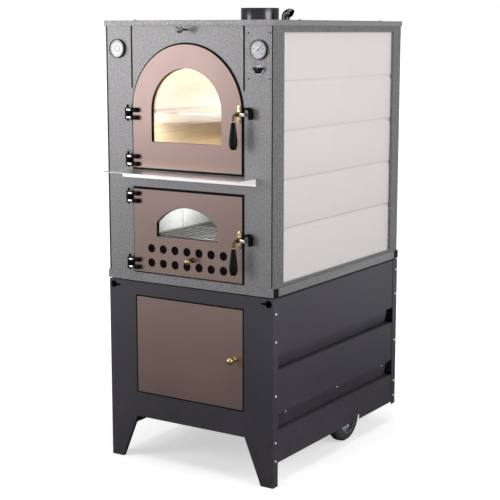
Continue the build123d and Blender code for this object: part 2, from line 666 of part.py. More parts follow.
def steam_vent():
    start = 1566.0
    section = Circle(VENT_R) - Circle(VENT_R - 1.5)
    centre = Pos(VENT_X, FRONT_Y + FLUE_DEPTH)
    pipe = extrude(Plane.XY.offset(start) * centre * section, VENT_SPRING - start)
    axis = Axis((VENT_X + VENT_BEND, FRONT_Y + FLUE_DEPTH, VENT_SPRING), (0, 1, 0))
    pipe += revolve(Plane.XY.offset(VENT_SPRING) * centre * section, axis, VENT_TURN)
    save("steam_vent", pipe)


# ---- trolley ----
def bolt_points(depth, heights):
    return [(HALF_TROLLEY, FRONT_Y + depth, z) for z in heights]


FRONT_POINTS = bolt_points(18.0, FRONT_BOLTS)
REAR_POINTS = bolt_points(984.0, REAR_BOLTS)


def drill(solid, r):
    """Clearance holes for the right-hand bolts, straight through a flange or a board."""
    for x, y, z in FRONT_POINTS + REAR_POINTS:
        solid -= extrude(Plane.YZ.offset(x - 12) * Pos(y, z) * Circle(r), 14)
    return solid


def trolley_front_panel():
    sheet = polygon((-HALF_TROLLEY, 0), (-FOOT_INNER, 0), (-LEG_TOP_HALF, LEG_CUT), (LEG_TOP_HALF, LEG_CUT),
                    (FOOT_INNER, 0), (HALF_TROLLEY, 0), (HALF_TROLLEY, TROLLEY_TOP), (-HALF_TROLLEY, TROLLEY_TOP))
    half, low, high = CUPBOARD
    sheet -= rect(half, low, high)
    for side in SIDES:
        sheet -= Pos(side * 354, 691.5) * Circle(14)
        sheet -= Pos(side * 338, 691.5) * Rectangle(30, 8)
    panel = plate(sheet, 0, SHEET)
    panel += plate(rect(half + SHEET, low - SHEET, high + SHEET) - rect(half, low, high), 0, 22)
    outer = polygon((-FOOT_INNER - 2.2, 0), (-LEG_TOP_HALF - 1.4, LEG_CUT + SHEET),
                    (LEG_TOP_HALF + 1.4, LEG_CUT + SHEET), (FOOT_INNER + 2.2, 0))
    inner = polygon((-FOOT_INNER, 0), (-LEG_TOP_HALF, LEG_CUT), (LEG_TOP_HALF, LEG_CUT), (FOOT_INNER, 0))
    panel += plate(outer - inner, 0, 16)
    for flange in both(drill(block(HALF_TROLLEY - SHEET, HALF_TROLLEY, 0, FLANGE, 0, TROLLEY_TOP), 3.1)):
        panel += flange
    save("trolley_front_panel", panel)


def trolley_back():
    rear = BODY_REAR
    post = block(HALF_TROLLEY - SHEET, HALF_TROLLEY, rear - FLANGE, rear, POST_BOTTOM, TROLLEY_TOP)
    post += block(HALF_TROLLEY - 40, HALF_TROLLEY, rear - SHEET, rear, POST_BOTTOM, TROLLEY_TOP)
    sheet = block(-370, 370, rear - 2 * SHEET, rear - SHEET, BOARDS[2][1], BOARDS[0][0])
    save("trolley_back", *both(drill(post, 3.1)), sheet)


def side_boards():
    face = HALF_TROLLEY - SHEET
    shift, drop = FLAP
    pieces = []
    for i, (top, fold) in enumerate(BOARDS):
        board = block(face - SHEET, face, 4, BODY_REAR - 5, fold, top)
        if i < 2:
            flap = polygon((face, fold), (face - shift, fold - drop), (face - shift - SHEET, fold - drop),
                           (face - SHEET, fold))
            end = FRONT_Y + FLAP_ENDS[1]
            mitre = polygon((end - FLAP_MITRE, fold), (end + 1, fold), (end + 1, fold - drop), (end, fold - drop))
            board += plate(flap, *FLAP_ENDS) - extrude(Plane.YZ.offset(face - 40) * mitre, 50)
        if i > 0:
            board += block(face - BOARD_LIP, face, 38, BODY_REAR - 42, top - SHEET, top)
        if i == 2:
            board -= block(face - SHEET, face, NOTCH[0], NOTCH[1], fold, NOTCH[2])
        pieces += both(drill(board, 3.1))
    save("side_boards", *pieces)


def trolley_bolts():
    pieces = []
    for x, y, z in FRONT_POINTS + REAR_POINTS:
        head = dome([(x, y, z)], (1, 0, 0), 6.5, 3.6)[0]
        head += extrude(Plane.YZ.offset(x - 7) * Pos(y, z) * Circle(3.0), 7)
        pieces += both(head)
    save("trolley_bolts", *pieces)


def trolley_shelves():
    deck = block(-370.5, 370.5, 3, BODY_REAR - 5, TROLLEY_TOP - SHEET, TROLLEY_TOP)
    for x in (-300, 300):
        for front in TUBE_FRONTS:
            deck += rod_z(x, front + TUBE / 2, 12, TROLLEY_TOP, RIM_BOTTOM)
    floor = block(-362, 362, 24, BODY_REAR - 5, FLOOR_Z, FLOOR_Z + SHEET)
    for side in SIDES:
        cheek = block(side * BRACKET_X - 2, side * BRACKET_X + 2, AXLE_DEPTH - 45, AXLE_DEPTH + 45, 84, FLOOR_Z)
        floor += cheek - rod_x(AXLE_DEPTH, TYRE_R, AXLE_R, side * BRACKET_X - 3, side * BRACKET_X + 3)
    save("trolley_shelves", deck, floor)


def axle():
    bar = rod_x(AXLE_DEPTH, TYRE_R, AXLE_R, -352, 352)
    inner = BRACKET_X + 2
    outer = WHEEL_X + TYRE_WIDTH / 2 + 1
    for side in SIDES:
        bar += rod_x(AXLE_DEPTH, TYRE_R, 15, min(side * inner, side * 285.5), max(side * inner, side * 285.5))
        bar += rod_x(AXLE_DEPTH, TYRE_R, 17, min(side * (outer + 0.5), side * (outer + 3)),
                     max(side * (outer + 0.5), side * (outer + 3)))
    save("axle", bar)


def wheel(side, name):
    half = TYRE_WIDTH / 2
    tread = [(RIM_R, -half), (TYRE_R - 18, -half), (TYRE_R - 7, -half + 6), (TYRE_R - 1, -half + 17), (TYRE_R, 0),
             (TYRE_R - 1, half - 17), (TYRE_R - 7, half - 6), (TYRE_R - 18, half), (RIM_R, half)]
    hub = [(AXLE_R + RUN, -half - 1), (19, -half - 1), (19, -10), (50, -3), (58, -half), (RIM_R, -half),
           (RIM_R, half), (62, half), (58, 6), (50, 3), (19, 4), (19, half + 1), (AXLE_R + RUN, half + 1)]
    centre = Pos(WHEEL_X, FRONT_Y + AXLE_DEPTH, TYRE_R)
    for node, outline in (("tyre", tread), ("wheel_rim", hub)):
        profile = make_face(Polyline(*[(x, r) for r, x in outline], close=True).edges())
        solid = centre * revolve(Plane.XZ * profile, Axis.X)
        save(f"{node}_{name}", solid if side > 0 else mirror(solid, about=Plane.YZ))


def cupboard_door():
    half, low, high = CUPBOARD_DOOR
    door = plate(rect(half, low, high), 0, DOOR_FOLD)
    door -= plate(rect(half - SHEET, low + SHEET, high - SHEET), SHEET, DOOR_FOLD)
    x, depth = CUPBOARD_PIN
    door -= rod_z(x, depth, 3 + RUN, low - 1, low + SHEET + 1)
    door -= rod_z(x, depth, 3 + RUN, high - SHEET - 1, high + 1)
    save("cupboard_door", door)
    knob = turned_y([(9, 0), (6, -5), (6, -16), (11, -20), (14, -27), (13.5, -33), (10, -38), (4, -41)], 206, 467)
    save("cupboard_knob", knob)


def build():
    os.makedirs("parts", exist_ok=True)
    lid()
    black_screws()
    front_panel()
    side_frames()
    side_panels()
    rear_panel()
    base_frame()
    tube_end_caps()
    shelf()
    instrument_plate()
    thermometer()
    rotary_switch()
    badge()
    door_frames()
    door_gaskets()
    frame_hinges()
    save("latch_catches", catch(UPPER_LATCH_Z), catch(LOWER_LATCH_Z))
    upper_door()
    lower_door()
    air_shutter()
    latch("upper", UPPER_LATCH_Z)
    latch("lower", LOWER_LATCH_Z)
    baking_chamber()
    refractory_bricks()
    baking_rack()
    oven_lamp()
    smoke_jacket()
    insulation_blanket()
    firebox()
    fire_grate()
    ash_drawer()
    flue_collar()
    damper()
    steam_vent()
    trolley_front_panel()
    trolley_back()
    side_boards()
    trolley_bolts()
    trolley_shelves()
    axle()
    wheel(-1, "left")
    wheel(1, "right")
    cupboard_door()


build()
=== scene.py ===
import math

import bmesh
import bpy
from mathutils import Matrix, Vector


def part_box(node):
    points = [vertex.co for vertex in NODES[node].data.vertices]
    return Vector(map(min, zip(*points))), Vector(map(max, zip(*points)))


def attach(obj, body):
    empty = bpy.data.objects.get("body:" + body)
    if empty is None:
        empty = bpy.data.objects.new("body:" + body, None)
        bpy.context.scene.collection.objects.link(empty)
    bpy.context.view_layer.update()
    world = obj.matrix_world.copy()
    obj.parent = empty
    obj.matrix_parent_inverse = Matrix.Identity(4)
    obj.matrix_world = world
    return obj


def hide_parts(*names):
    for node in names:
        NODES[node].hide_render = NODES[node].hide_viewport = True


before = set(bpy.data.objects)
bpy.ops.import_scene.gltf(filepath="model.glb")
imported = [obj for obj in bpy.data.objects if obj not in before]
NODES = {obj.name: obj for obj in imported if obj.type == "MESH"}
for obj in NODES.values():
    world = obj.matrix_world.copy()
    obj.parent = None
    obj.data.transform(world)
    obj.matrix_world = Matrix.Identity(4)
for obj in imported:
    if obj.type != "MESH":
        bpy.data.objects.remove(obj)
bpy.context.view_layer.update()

MM = 0.001
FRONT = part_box("front_panel")[0].y
SIDES = (-1, 1)
RIBS = (948.5, 1125.0, 1301.5, 1478.0)


# ---- node wiring ----
def add(tree, kind, inputs=None, **settings):
    """A node with its settings and inputs; an input is a value or another node's socket."""
    made = tree.nodes.new(kind)
    for key, value in settings.items():
        setattr(made, key, value)
    for key, value in (inputs or {}).items():
        if isinstance(value, bpy.types.NodeSocket):
            tree.links.new(value, made.inputs[key])
        else:
            made.inputs[key].default_value = value
    return made


def new_group(name, kind, inputs, outputs):
    tree = bpy.data.node_groups.new(name, kind)
    for label, socket, value in inputs:
        made = tree.interface.new_socket(label, in_out="INPUT", socket_type=socket)
        if value is not None:
            made.default_value = value
    for label, socket in outputs:
        tree.interface.new_socket(label, in_out="OUTPUT", socket_type=socket)
    return tree, tree.nodes.new("NodeGroupInput").outputs, tree.nodes.new("NodeGroupOutput").inputs


def math_node(tree, operation, a, b=0.0):
    return add(tree, "ShaderNodeMath", {0: a, 1: b}, operation=operation).outputs[0]


def remap(tree, value, low, high, to_low=0.0, to_high=1.0):
    made = add(tree, "ShaderNodeMapRange", {"Value": value, "From Min": low, "From Max": high,
                                            "To Min": to_low, "To Max": to_high})
    return made.outputs["Result"]


def blend_colour(tree, share, a, b, mode="MIX"):
    made = add(tree, "ShaderNodeMix", data_type="RGBA", blend_type=mode)
    for socket, value in ((made.inputs[0], share), (made.inputs[6], a), (made.inputs[7], b)):
        if isinstance(value, bpy.types.NodeSocket):
            tree.links.new(value, socket)
        else:
            socket.default_value = value
    return made.outputs[2]


def place(tree, group, **inputs):
    made = tree.nodes.new("ShaderNodeGroup")
    made.node_tree = group
    for label, value in inputs.items():
        socket = made.inputs[label.replace("_", " ")]
        if isinstance(value, bpy.types.NodeSocket):
            tree.links.new(value, socket)
        else:
            socket.default_value = value
    return made.outputs


VECTOR, NUMBER, COLOUR = "NodeSocketVector", "NodeSocketFloat", "NodeSocketColor"


# ---- shared surface effects ----
def hammered_grain():
    """Puddled cells of a hammered stove enamel: a height, and a fleck that differs from cell to cell."""
    tree, given, out = new_group(
        "hammered_grain", "ShaderNodeTree",
        [("Vector", VECTOR, None), ("Cells", NUMBER, 380.0)],
        [("Height", NUMBER), ("Fleck", NUMBER)])
    cells = add(tree, "ShaderNodeTexVoronoi", {"Vector": given["Vector"], "Scale": given["Cells"],
                                               "Smoothness": 0.45}, feature="SMOOTH_F1")
    coarse = math_node(tree, "MULTIPLY", given["Cells"], 0.42)
    cloud = add(tree, "ShaderNodeTexNoise", {"Vector": given["Vector"], "Scale": coarse, "Detail": 3.0,
                                             "Roughness": 0.6})
    bowl = remap(tree, cells.outputs["Distance"], 0.0, 0.8)
    mottle = remap(tree, cloud.outputs["Fac"], 0.36, 0.64)
    fleck = math_node(tree, "MULTIPLY", bowl, 0.45)
    fleck = math_node(tree, "ADD", fleck, math_node(tree, "MULTIPLY", mottle, 0.6))
    tree.links.new(math_node(tree, "ADD", bowl, math_node(tree, "MULTIPLY", mottle, 0.5)), out["Height"])
    tree.links.new(fleck, out["Fleck"])
    return tree


def orange_peel():
    """Fine skin of a sprayed coat, with slow clouds where the coat is thicker."""
    tree, given, out = new_group(
        "orange_peel", "ShaderNodeTree",
        [("Vector", VECTOR, None), ("Scale", NUMBER, 500.0), ("Cloud Scale", NUMBER, 5.0)],
        [("Height", NUMBER), ("Cloud", NUMBER), ("Speck", NUMBER)])
    fine = add(tree, "ShaderNodeTexNoise", {"Vector": given["Vector"], "Scale": given["Scale"], "Detail": 2.0})
    slow = add(tree, "ShaderNodeTexNoise", {"Vector": given["Vector"], "Scale": given["Cloud Scale"],
                                            "Detail": 4.0, "Roughness": 0.55})
    tree.links.new(fine.outputs["Fac"], out["Height"])
    tree.links.new(remap(tree, slow.outputs["Fac"], 0.3, 0.7), out["Cloud"])
    tree.links.new(remap(tree, fine.outputs["Fac"], 0.6, 0.75), out["Speck"])
    return tree


def edge_wear():
    """A mask along outside edges, broken up by noise, where handling rubs a finish thin."""
    tree, given, out = new_group(
        "edge_wear", "ShaderNodeTree",
        [("Vector", VECTOR, None), ("Radius", NUMBER, 0.0015), ("Break Up", NUMBER, 60.0),
         ("Amount", NUMBER, 0.6)],
        [("Mask", NUMBER)])
    rounded = add(tree, "ShaderNodeBevel", {"Radius": given["Radius"]}, samples=4)
    flat = add(tree, "ShaderNodeNewGeometry")
    facing = add(tree, "ShaderNodeVectorMath", {0: rounded.outputs[0], 1: flat.outputs["Normal"]},
                 operation="DOT_PRODUCT")
    edge = remap(tree, facing.outputs["Value"], 0.985, 0.86)
    noise = add(tree, "ShaderNodeTexNoise", {"Vector": given["Vector"], "Scale": given["Break Up"],
                                             "Detail": 4.0, "Roughness": 0.7})
    patchy = remap(tree, noise.outputs["Fac"], 0.42, 0.62)
    mask = math_node(tree, "MULTIPLY", math_node(tree, "MULTIPLY", edge, patchy), given["Amount"])
    tree.links.new(mask, out["Mask"])
    return tree


def brushed_grain():
    """Long fine scratches along one axis, with broader smears under them."""
    tree, given, out = new_group(
        "brushed_grain", "ShaderNodeTree",
        [("Vector", VECTOR, None), ("Stretch", VECTOR, (4.0, 400.0, 900.0))],
        [("Height", NUMBER), ("Streak", NUMBER)])
    stretched = add(tree, "ShaderNodeVectorMath", {0: given["Vector"], 1: given["Stretch"]},
                    operation="MULTIPLY")
    lines = add(tree, "ShaderNodeTexNoise", {"Vector": stretched.outputs[0], "Scale": 1.0, "Detail": 3.0})
    wide = add(tree, "ShaderNodeVectorMath", {0: stretched.outputs[0], 1: (0.08, 0.08, 0.08)},
               operation="MULTIPLY")
    smear = add(tree, "ShaderNodeTexNoise", {"Vector": wide.outputs[0], "Scale": 1.0, "Detail": 2.0})
    tree.links.new(lines.outputs["Fac"], out["Height"])
    mixed = math_node(tree, "ADD", math_node(tree, "MULTIPLY", lines.outputs["Fac"], 0.55),
                      math_node(tree, "MULTIPLY", smear.outputs["Fac"], 0.45))
    tree.links.new(remap(tree, mixed, 0.35, 0.65), out["Streak"])
    return tree


def settled_dust():
    """Dust on what faces up, and grime that thickens below a height."""
    tree, given, out = new_group(
        "settled_dust", "ShaderNodeTree",
        [("Vector", VECTOR, None), ("Clean Height", NUMBER, 0.35), ("Amount", NUMBER, 0.25)],
        [("Mask", NUMBER)])
    parts = add(tree, "ShaderNodeSeparateXYZ", {0: given["Vector"]}).outputs
    normal = add(tree, "ShaderNodeSeparateXYZ", {0: add(tree, "ShaderNodeNewGeometry").outputs["Normal"]}).outputs
    noise = add(tree, "ShaderNodeTexNoise", {"Vector": given["Vector"], "Scale": 22.0, "Detail": 5.0,
                                             "Roughness": 0.65})
    low = remap(tree, parts["Z"], given["Clean Height"], 0.0)
    up = remap(tree, normal["Z"], 0.6, 1.0)
    both = math_node(tree, "MAXIMUM", low, math_node(tree, "MULTIPLY", up, 0.7))
    speckled = math_node(tree, "MULTIPLY", both, remap(tree, noise.outputs["Fac"], 0.3, 0.7, 0.25, 1.0))
    tree.links.new(math_node(tree, "MULTIPLY", speckled, given["Amount"]), out["Mask"])
    return tree


HAMMER = hammered_grain()
PEEL = orange_peel()
WEAR = edge_wear()
BRUSH = brushed_grain()
DUST = settled_dust()


# ---- materials ----
def surface(name, **sockets):
    """A material with a Principled shader whose constant inputs are set here."""
    made = bpy.data.materials.new(name)
    made.use_nodes = True
    tree = made.node_tree
    shader = tree.nodes["Principled BSDF"]
    for label, value in sockets.items():
        shader.inputs[label.replace("_", " ")].default_value = value
    where = add(tree, "ShaderNodeTexCoord").outputs["Object"]
    return made, tree, shader, where


def raise_bump(tree, shader, height, strength, distance):
    bump = add(tree, "ShaderNodeBump", {"Height": height, "Strength": strength, "Distance": distance})
    tree.links.new(bump.outputs["Normal"], shader.inputs["Normal"])


def hammered_enamel(name, dark, light, roughness, cells=380.0):
    made, tree, shader, where = surface(name, Metallic=0.3, Specular_IOR_Level=0.55)
    grain = place(tree, HAMMER, Vector=where, Cells=cells)
    cloud = place(tree, PEEL, Vector=where, Cloud_Scale=3.0)["Cloud"]
    colour = blend_colour(tree, grain["Fleck"], dark, light)
    colour = blend_colour(tree, math_node(tree, "MULTIPLY", cloud, 0.12), colour, light)
    worn = place(tree, WEAR, Vector=where, Amount=0.3, Radius=0.002)["Mask"]
    colour = blend_colour(tree, worn, colour, (0.55, 0.55, 0.55, 1))
    dust = place(tree, DUST, Vector=where, Clean_Height=0.1, Amount=0.15)["Mask"]
    colour = blend_colour(tree, dust, colour, (0.5, 0.47, 0.44, 1))
    tree.links.new(colour, shader.inputs["Base Color"])
    rough = remap(tree, grain["Fleck"], 0.0, 1.0, roughness + 0.08, roughness - 0.08)
    tree.links.new(rough, shader.inputs["Roughness"])
    raise_bump(tree, shader, grain["Height"], 0.35, 0.0006)
    return made


def sprayed_paint(name, colour, roughness, metallic=0.0, coat=0.0, peel=0.12, wear=0.25, dust=0.2,
                  clean=0.35, bare=(0.45, 0.43, 0.41, 1), peel_scale=500.0, lift=1.25, shine=0.5,
                  coat_roughness=0.12):
    """A smooth sprayed coat: peel, slow clouds, rubbed edges and a little dust."""
    made, tree, shader, where = surface(name, Metallic=metallic, Coat_Roughness=coat_roughness,
                                        Specular_IOR_Level=shine)
    shader.inputs["Coat Weight"].default_value = coat
    skin = place(tree, PEEL, Vector=where, Scale=peel_scale, Cloud_Scale=4.0)
    lighter = (*[min(1.0, c * lift) for c in colour[:3]], 1)
    mixed = blend_colour(tree, skin["Cloud"], colour, lighter)
    worn = place(tree, WEAR, Vector=where, Amount=wear)["Mask"]
    mixed = blend_colour(tree, worn, mixed, bare)
    grime = place(tree, DUST, Vector=where, Clean_Height=clean, Amount=dust)["Mask"]
    mixed = blend_colour(tree, grime, mixed, (0.42, 0.39, 0.35, 1))
    tree.links.new(mixed, shader.inputs["Base Color"])
    tree.links.new(remap(tree, skin["Cloud"], 0.0, 1.0, roughness - 0.04, roughness + 0.05),
                   shader.inputs["Roughness"])
    raise_bump(tree, shader, skin["Height"], peel, 0.0004)
    return made


def brushed_metal(name, dark, light, roughness, stretch, bump=0.12, heat=0.0, stain=(0.4, 0.25, 0.12, 1)):
    """Ground sheet metal; heat lays a straw and brown tint over it in clouds."""
    made, tree, shader, where = surface(name, Metallic=1.0)
    grain = place(tree, BRUSH, Vector=where, Stretch=stretch)
    cloud = place(tree, PEEL, Vector=where, Cloud_Scale=7.0)["Cloud"]
    colour = blend_colour(tree, grain["Streak"], dark, light)
    colour = blend_colour(tree, math_node(tree, "MULTIPLY", cloud, heat), colour, stain)
    tree.links.new(colour, shader.inputs["Base Color"])
    tree.links.new(remap(tree, grain["Streak"], 0.0, 1.0, roughness + 0.06, roughness - 0.06),
                   shader.inputs["Roughness"])
    raise_bump(tree, shader, grain["Height"], bump, 0.0002)
    return made


def polished_metal(name, colour, tarnish, roughness, amount=0.35, scale=90.0):
    """Turned or plated metal with a soft tarnish in noise clouds."""
    made, tree, shader, where = surface(name, Metallic=1.0)
    noise = add(tree, "ShaderNodeTexNoise", {"Vector": where, "Scale": scale, "Detail": 5.0, "Roughness": 0.6})
    mask = remap(tree, noise.outputs["Fac"], 0.4, 0.7, 0.0, amount)
    tree.links.new(blend_colour(tree, mask, colour, tarnish), shader.inputs["Base Color"])
    tree.links.new(remap(tree, mask, 0.0, 1.0, roughness, roughness + 0.3), shader.inputs["Roughness"])
    raise_bump(tree, shader, noise.outputs["Fac"], 0.05, 0.0003)
    return made


def moulded(name, colour, roughness, coat=0.0, grain=0.08, scale=900.0, dust=0.12, shine=0.4):
    """Plastic, rubber or bakelite with a fine moulded skin."""
    made, tree, shader, where = surface(name, Specular_IOR_Level=shine, Coat_Roughness=0.15)
    shader.inputs["Coat Weight"].default_value = coat
    skin = place(tree, PEEL, Vector=where, Scale=scale, Cloud_Scale=30.0)
    lighter = (*[min(1.0, c * 1.5 + 0.004) for c in colour[:3]], 1)
    mixed = blend_colour(tree, skin["Cloud"], colour, lighter)
    grime = place(tree, DUST, Vector=where, Clean_Height=0.3, Amount=dust)["Mask"]
    mixed = blend_colour(tree, grime, mixed, (0.4, 0.38, 0.35, 1))
    tree.links.new(mixed, shader.inputs["Base Color"])
    tree.links.new(remap(tree, skin["Cloud"], 0.0, 1.0, roughness - 0.05, roughness + 0.08),
                   shader.inputs["Roughness"])
    raise_bump(tree, shader, skin["Height"], grain, 0.0003)
    return made


def baked_clay(name, dark, light, burnt):
    made, tree, shader, where = surface(name, Specular_IOR_Level=0.25)
    noise = add(tree, "ShaderNodeTexNoise", {"Vector": where, "Scale": 60.0, "Detail": 8.0, "Roughness": 0.7})
    pores = add(tree, "ShaderNodeTexVoronoi", {"Vector": where, "Scale": 260.0})
    pit = remap(tree, pores.outputs["Distance"], 0.1, 0.35)
    colour = blend_colour(tree, remap(tree, noise.outputs["Fac"], 0.35, 0.7), dark, light)
    colour = blend_colour(tree, math_node(tree, "MULTIPLY", math_node(tree, "SUBTRACT", 1.0, pit), 0.5),
                          colour, burnt)
    tree.links.new(colour, shader.inputs["Base Color"])
    tree.links.new(remap(tree, pit, 0.0, 1.0, 0.95, 0.8), shader.inputs["Roughness"])
    raise_bump(tree, shader, math_node(tree, "ADD", pit, noise.outputs["Fac"]), 0.5, 0.001)
    return made


def ceramic_wool():
    made, tree, shader, where = surface("ceramic_wool", Roughness=0.95, Specular_IOR_Level=0.1)
    fibres = place(tree, BRUSH, Vector=where, Stretch=(300.0, 60.0, 900.0))
    colour = blend_colour(tree, fibres["Streak"], (0.62, 0.58, 0.50, 1), (0.86, 0.84, 0.78, 1))
    tree.links.new(colour, shader.inputs["Base Color"])
    raise_bump(tree, shader, fibres["Height"], 0.6, 0.001)
    return made


def oven_glass():
    """Glass ceramic: clear and slightly amber, with a faint haze that roughens it in patches."""
    made, tree, shader, where = surface("oven_glass", Transmission_Weight=1.0, IOR=1.48, Metallic=0.0)
    haze = add(tree, "ShaderNodeTexNoise", {"Vector": where, "Scale": 14.0, "Detail": 5.0, "Roughness": 0.7})
    mask = remap(tree, haze.outputs["Fac"], 0.45, 0.75)
    tree.links.new(blend_colour(tree, mask, (1.0, 0.985, 0.95, 1), (0.93, 0.89, 0.80, 1)),
                   shader.inputs["Base Color"])
    tree.links.new(remap(tree, mask, 0.0, 1.0, 0.02, 0.09), shader.inputs["Roughness"])
    return made


def clear_pane():
    """The thin instrument glass: a faint reflecting skin over the dial."""
    made, tree, shader, where = surface("clear_pane", Alpha=0.12, Roughness=0.06)
    smear = add(tree, "ShaderNodeTexNoise", {"Vector": where, "Scale": 40.0, "Detail": 4.0, "Roughness": 0.6})
    tree.links.new(blend_colour(tree, smear.outputs["Fac"], (0.80, 0.86, 0.92, 1), (0.92, 0.96, 1.0, 1)),
                   shader.inputs["Base Color"])
    return made


def lit_lens():
    """The lamp's pressed glass, glowing warm from the bulb behind it."""
    made, tree, shader, where = surface("lamp_lens", Roughness=0.2, Base_Color=(0.95, 0.85, 0.65, 1))
    ridges = add(tree, "ShaderNodeTexWave", {"Vector": where, "Scale": 60.0, "Distortion": 0.4})
    glow = blend_colour(tree, ridges.outputs["Fac"], (1.0, 0.62, 0.28, 1), (1.0, 0.84, 0.55, 1))
    tree.links.new(glow, shader.inputs["Emission Color"])
    shader.inputs["Emission Strength"].default_value = 14.0
    return made


FINISH = {
    "hammered_grey": hammered_enamel("hammered_grey", (0.17, 0.165, 0.17, 1), (0.36, 0.35, 0.36, 1), 0.42),
    "hammered_side": hammered_enamel("hammered_side", (0.10, 0.10, 0.105, 1), (0.25, 0.245, 0.25, 1), 0.48),
    "bronze_coat": sprayed_paint("bronze_coat", (0.285, 0.198, 0.175, 1), 0.38, metallic=0.65, coat=0.35,
                                 peel=0.05, wear=0.1, dust=0.04, lift=1.08, coat_roughness=0.2),
    "anthracite_coat": sprayed_paint("anthracite_coat", (0.050, 0.046, 0.058, 1), 0.42, peel=0.06, wear=0.12,
                                     dust=0.1),
    "pale_coat": sprayed_paint("pale_coat", (0.80, 0.765, 0.755, 1), 0.34, coat=0.1, peel=0.06, wear=0.05,
                               dust=0.04, lift=1.04),
    "black_coat": sprayed_paint("black_coat", (0.0035, 0.0032, 0.0035, 1), 0.4, wear=0.02, dust=0.0, shine=0.07),
    "sooted_steel": sprayed_paint("sooted_steel", (0.004, 0.004, 0.004, 1), 0.8, wear=0.02, dust=0.01,
                                  shine=0.1),
    "firebox_steel": brushed_metal("firebox_steel", (0.50, 0.49, 0.46, 1), (0.75, 0.74, 0.70, 1), 0.42,
                                   (400.0, 5.0, 60.0), heat=0.3, stain=(0.38, 0.33, 0.27, 1)),
    "stainless": brushed_metal("stainless", (0.80, 0.79, 0.78, 1), (0.95, 0.94, 0.93, 1), 0.36,
                               (4.0, 500.0, 900.0), bump=0.03),
    "chamber_steel": brushed_metal("chamber_steel", (0.62, 0.58, 0.50, 1), (0.86, 0.83, 0.76, 1), 0.30,
                                   (500.0, 3.0, 900.0), heat=0.25, stain=(0.75, 0.52, 0.28, 1)),
    "flue_steel": brushed_metal("flue_steel", (0.065, 0.068, 0.088, 1), (0.125, 0.122, 0.135, 1), 0.25,
                                (500.0, 500.0, 6.0), bump=0.04, heat=0.25, stain=(0.16, 0.12, 0.10, 1)),
    "mill_steel": brushed_metal("mill_steel", (0.20, 0.19, 0.185, 1), (0.36, 0.35, 0.34, 1), 0.42,
                                (30.0, 30.0, 300.0), heat=0.4),
    # zinc plate; on the hinge knuckle bands and the wheel rims it also stands in for painted light
    "zinc_plate_and_painted_light": polished_metal("zinc_plate_and_painted_light", (0.86, 0.88, 0.90, 1), (0.55, 0.56, 0.58, 1), 0.30, 0.35),
    "galvanised": polished_metal("galvanised", (0.30, 0.30, 0.315, 1), (0.14, 0.14, 0.145, 1), 0.38, 0.7),
    "chrome_plate": polished_metal("chrome_plate", (0.82, 0.82, 0.83, 1), (0.55, 0.55, 0.56, 1), 0.08, 0.15),
    "cast_iron": sprayed_paint("cast_iron", (0.045, 0.043, 0.041, 1), 0.7, metallic=0.6, peel=0.6,
                               peel_scale=260.0, wear=0.3, dust=0.3, clean=0.1),
    "bright_brass": polished_metal("bright_brass", (0.83, 0.66, 0.34, 1), (0.42, 0.28, 0.10, 1), 0.18, 0.45),
    "dark_bronze": polished_metal("dark_bronze", (0.20, 0.15, 0.075, 1), (0.05, 0.036, 0.02, 1), 0.28, 0.8),
    "grip_bakelite": moulded("grip_bakelite", (0.003, 0.003, 0.0045, 1), 0.3, coat=0.0, grain=0.03, shine=0.1,
                             dust=0.0),
    "cap_plastic": moulded("cap_plastic", (0.003, 0.003, 0.0035, 1), 0.5, shine=0.12, dust=0.0),
    "wheel_grey": sprayed_paint("wheel_grey", (0.42, 0.50, 0.58, 1), 0.35, metallic=0.3, coat=0.3, dust=0.1),
    "tyre_rubber": moulded("tyre_rubber", (0.018, 0.018, 0.019, 1), 0.62, grain=0.35, scale=420.0, dust=0.3),
    # white enamel; on the switch rosette this white is painted highlight
    "white_enamel_and_highlight": sprayed_paint("white_enamel_and_highlight", (0.80, 0.84, 0.88, 1), 0.25, coat=0.5, peel=0.02, wear=0.0,
                                 dust=0.0, lift=1.04),
    # black print; across the latch screw heads it is painted shade for their slots
    "black_print_and_slot_shade": moulded("black_print_and_slot_shade", (0.02, 0.02, 0.022, 1), 0.5, dust=0.0),
    "refractory_clay": baked_clay("refractory_clay", (0.84, 0.74, 0.58, 1), (0.93, 0.87, 0.74, 1),
                                  (0.28, 0.17, 0.10, 1)),
    "firebox_board": baked_clay("firebox_board", (0.50, 0.51, 0.50, 1), (0.66, 0.66, 0.64, 1),
                                (0.30, 0.29, 0.28, 1)),
    "ceramic_wool": ceramic_wool(),
    "oven_glass": oven_glass(),
    "clear_pane": clear_pane(),
    "lamp_lens": lit_lens(),
}


# ---- finishing of the carried-over nodes ----
def dress(finish, *names, edge=0.5):
    """Carried-over nodes get their finish and edges rounded by that many millimetres."""
    for name in names:
        item = NODES[name]
        item.data.materials.clear()
        item.data.materials.append(FINISH[finish])
        item.modifiers.new("join", "WELD").merge_threshold = 1e-6
        flatten = item.modifiers.new("flatten", "DECIMATE")
        flatten.decimate_type = "DISSOLVE"
        flatten.angle_limit = math.radians(0.3)
        bevel = item.modifiers.new("edges", "BEVEL")
        bevel.width = edge * MM
        bevel.segments = 2
        bevel.limit_method = "ANGLE"
        bevel.angle_limit = math.radians(35)
        weigh = item.modifiers.new("normals", "WEIGHTED_NORMAL")
        weigh.keep_sharp = False
        weigh.weight = 80


# ---- shapes ----
def at(x, depth, z):
    """Millimetres, with depth counted back from the body's front, as a point of the frame."""
    return Vector((x * MM, FRONT + depth * MM, z * MM))


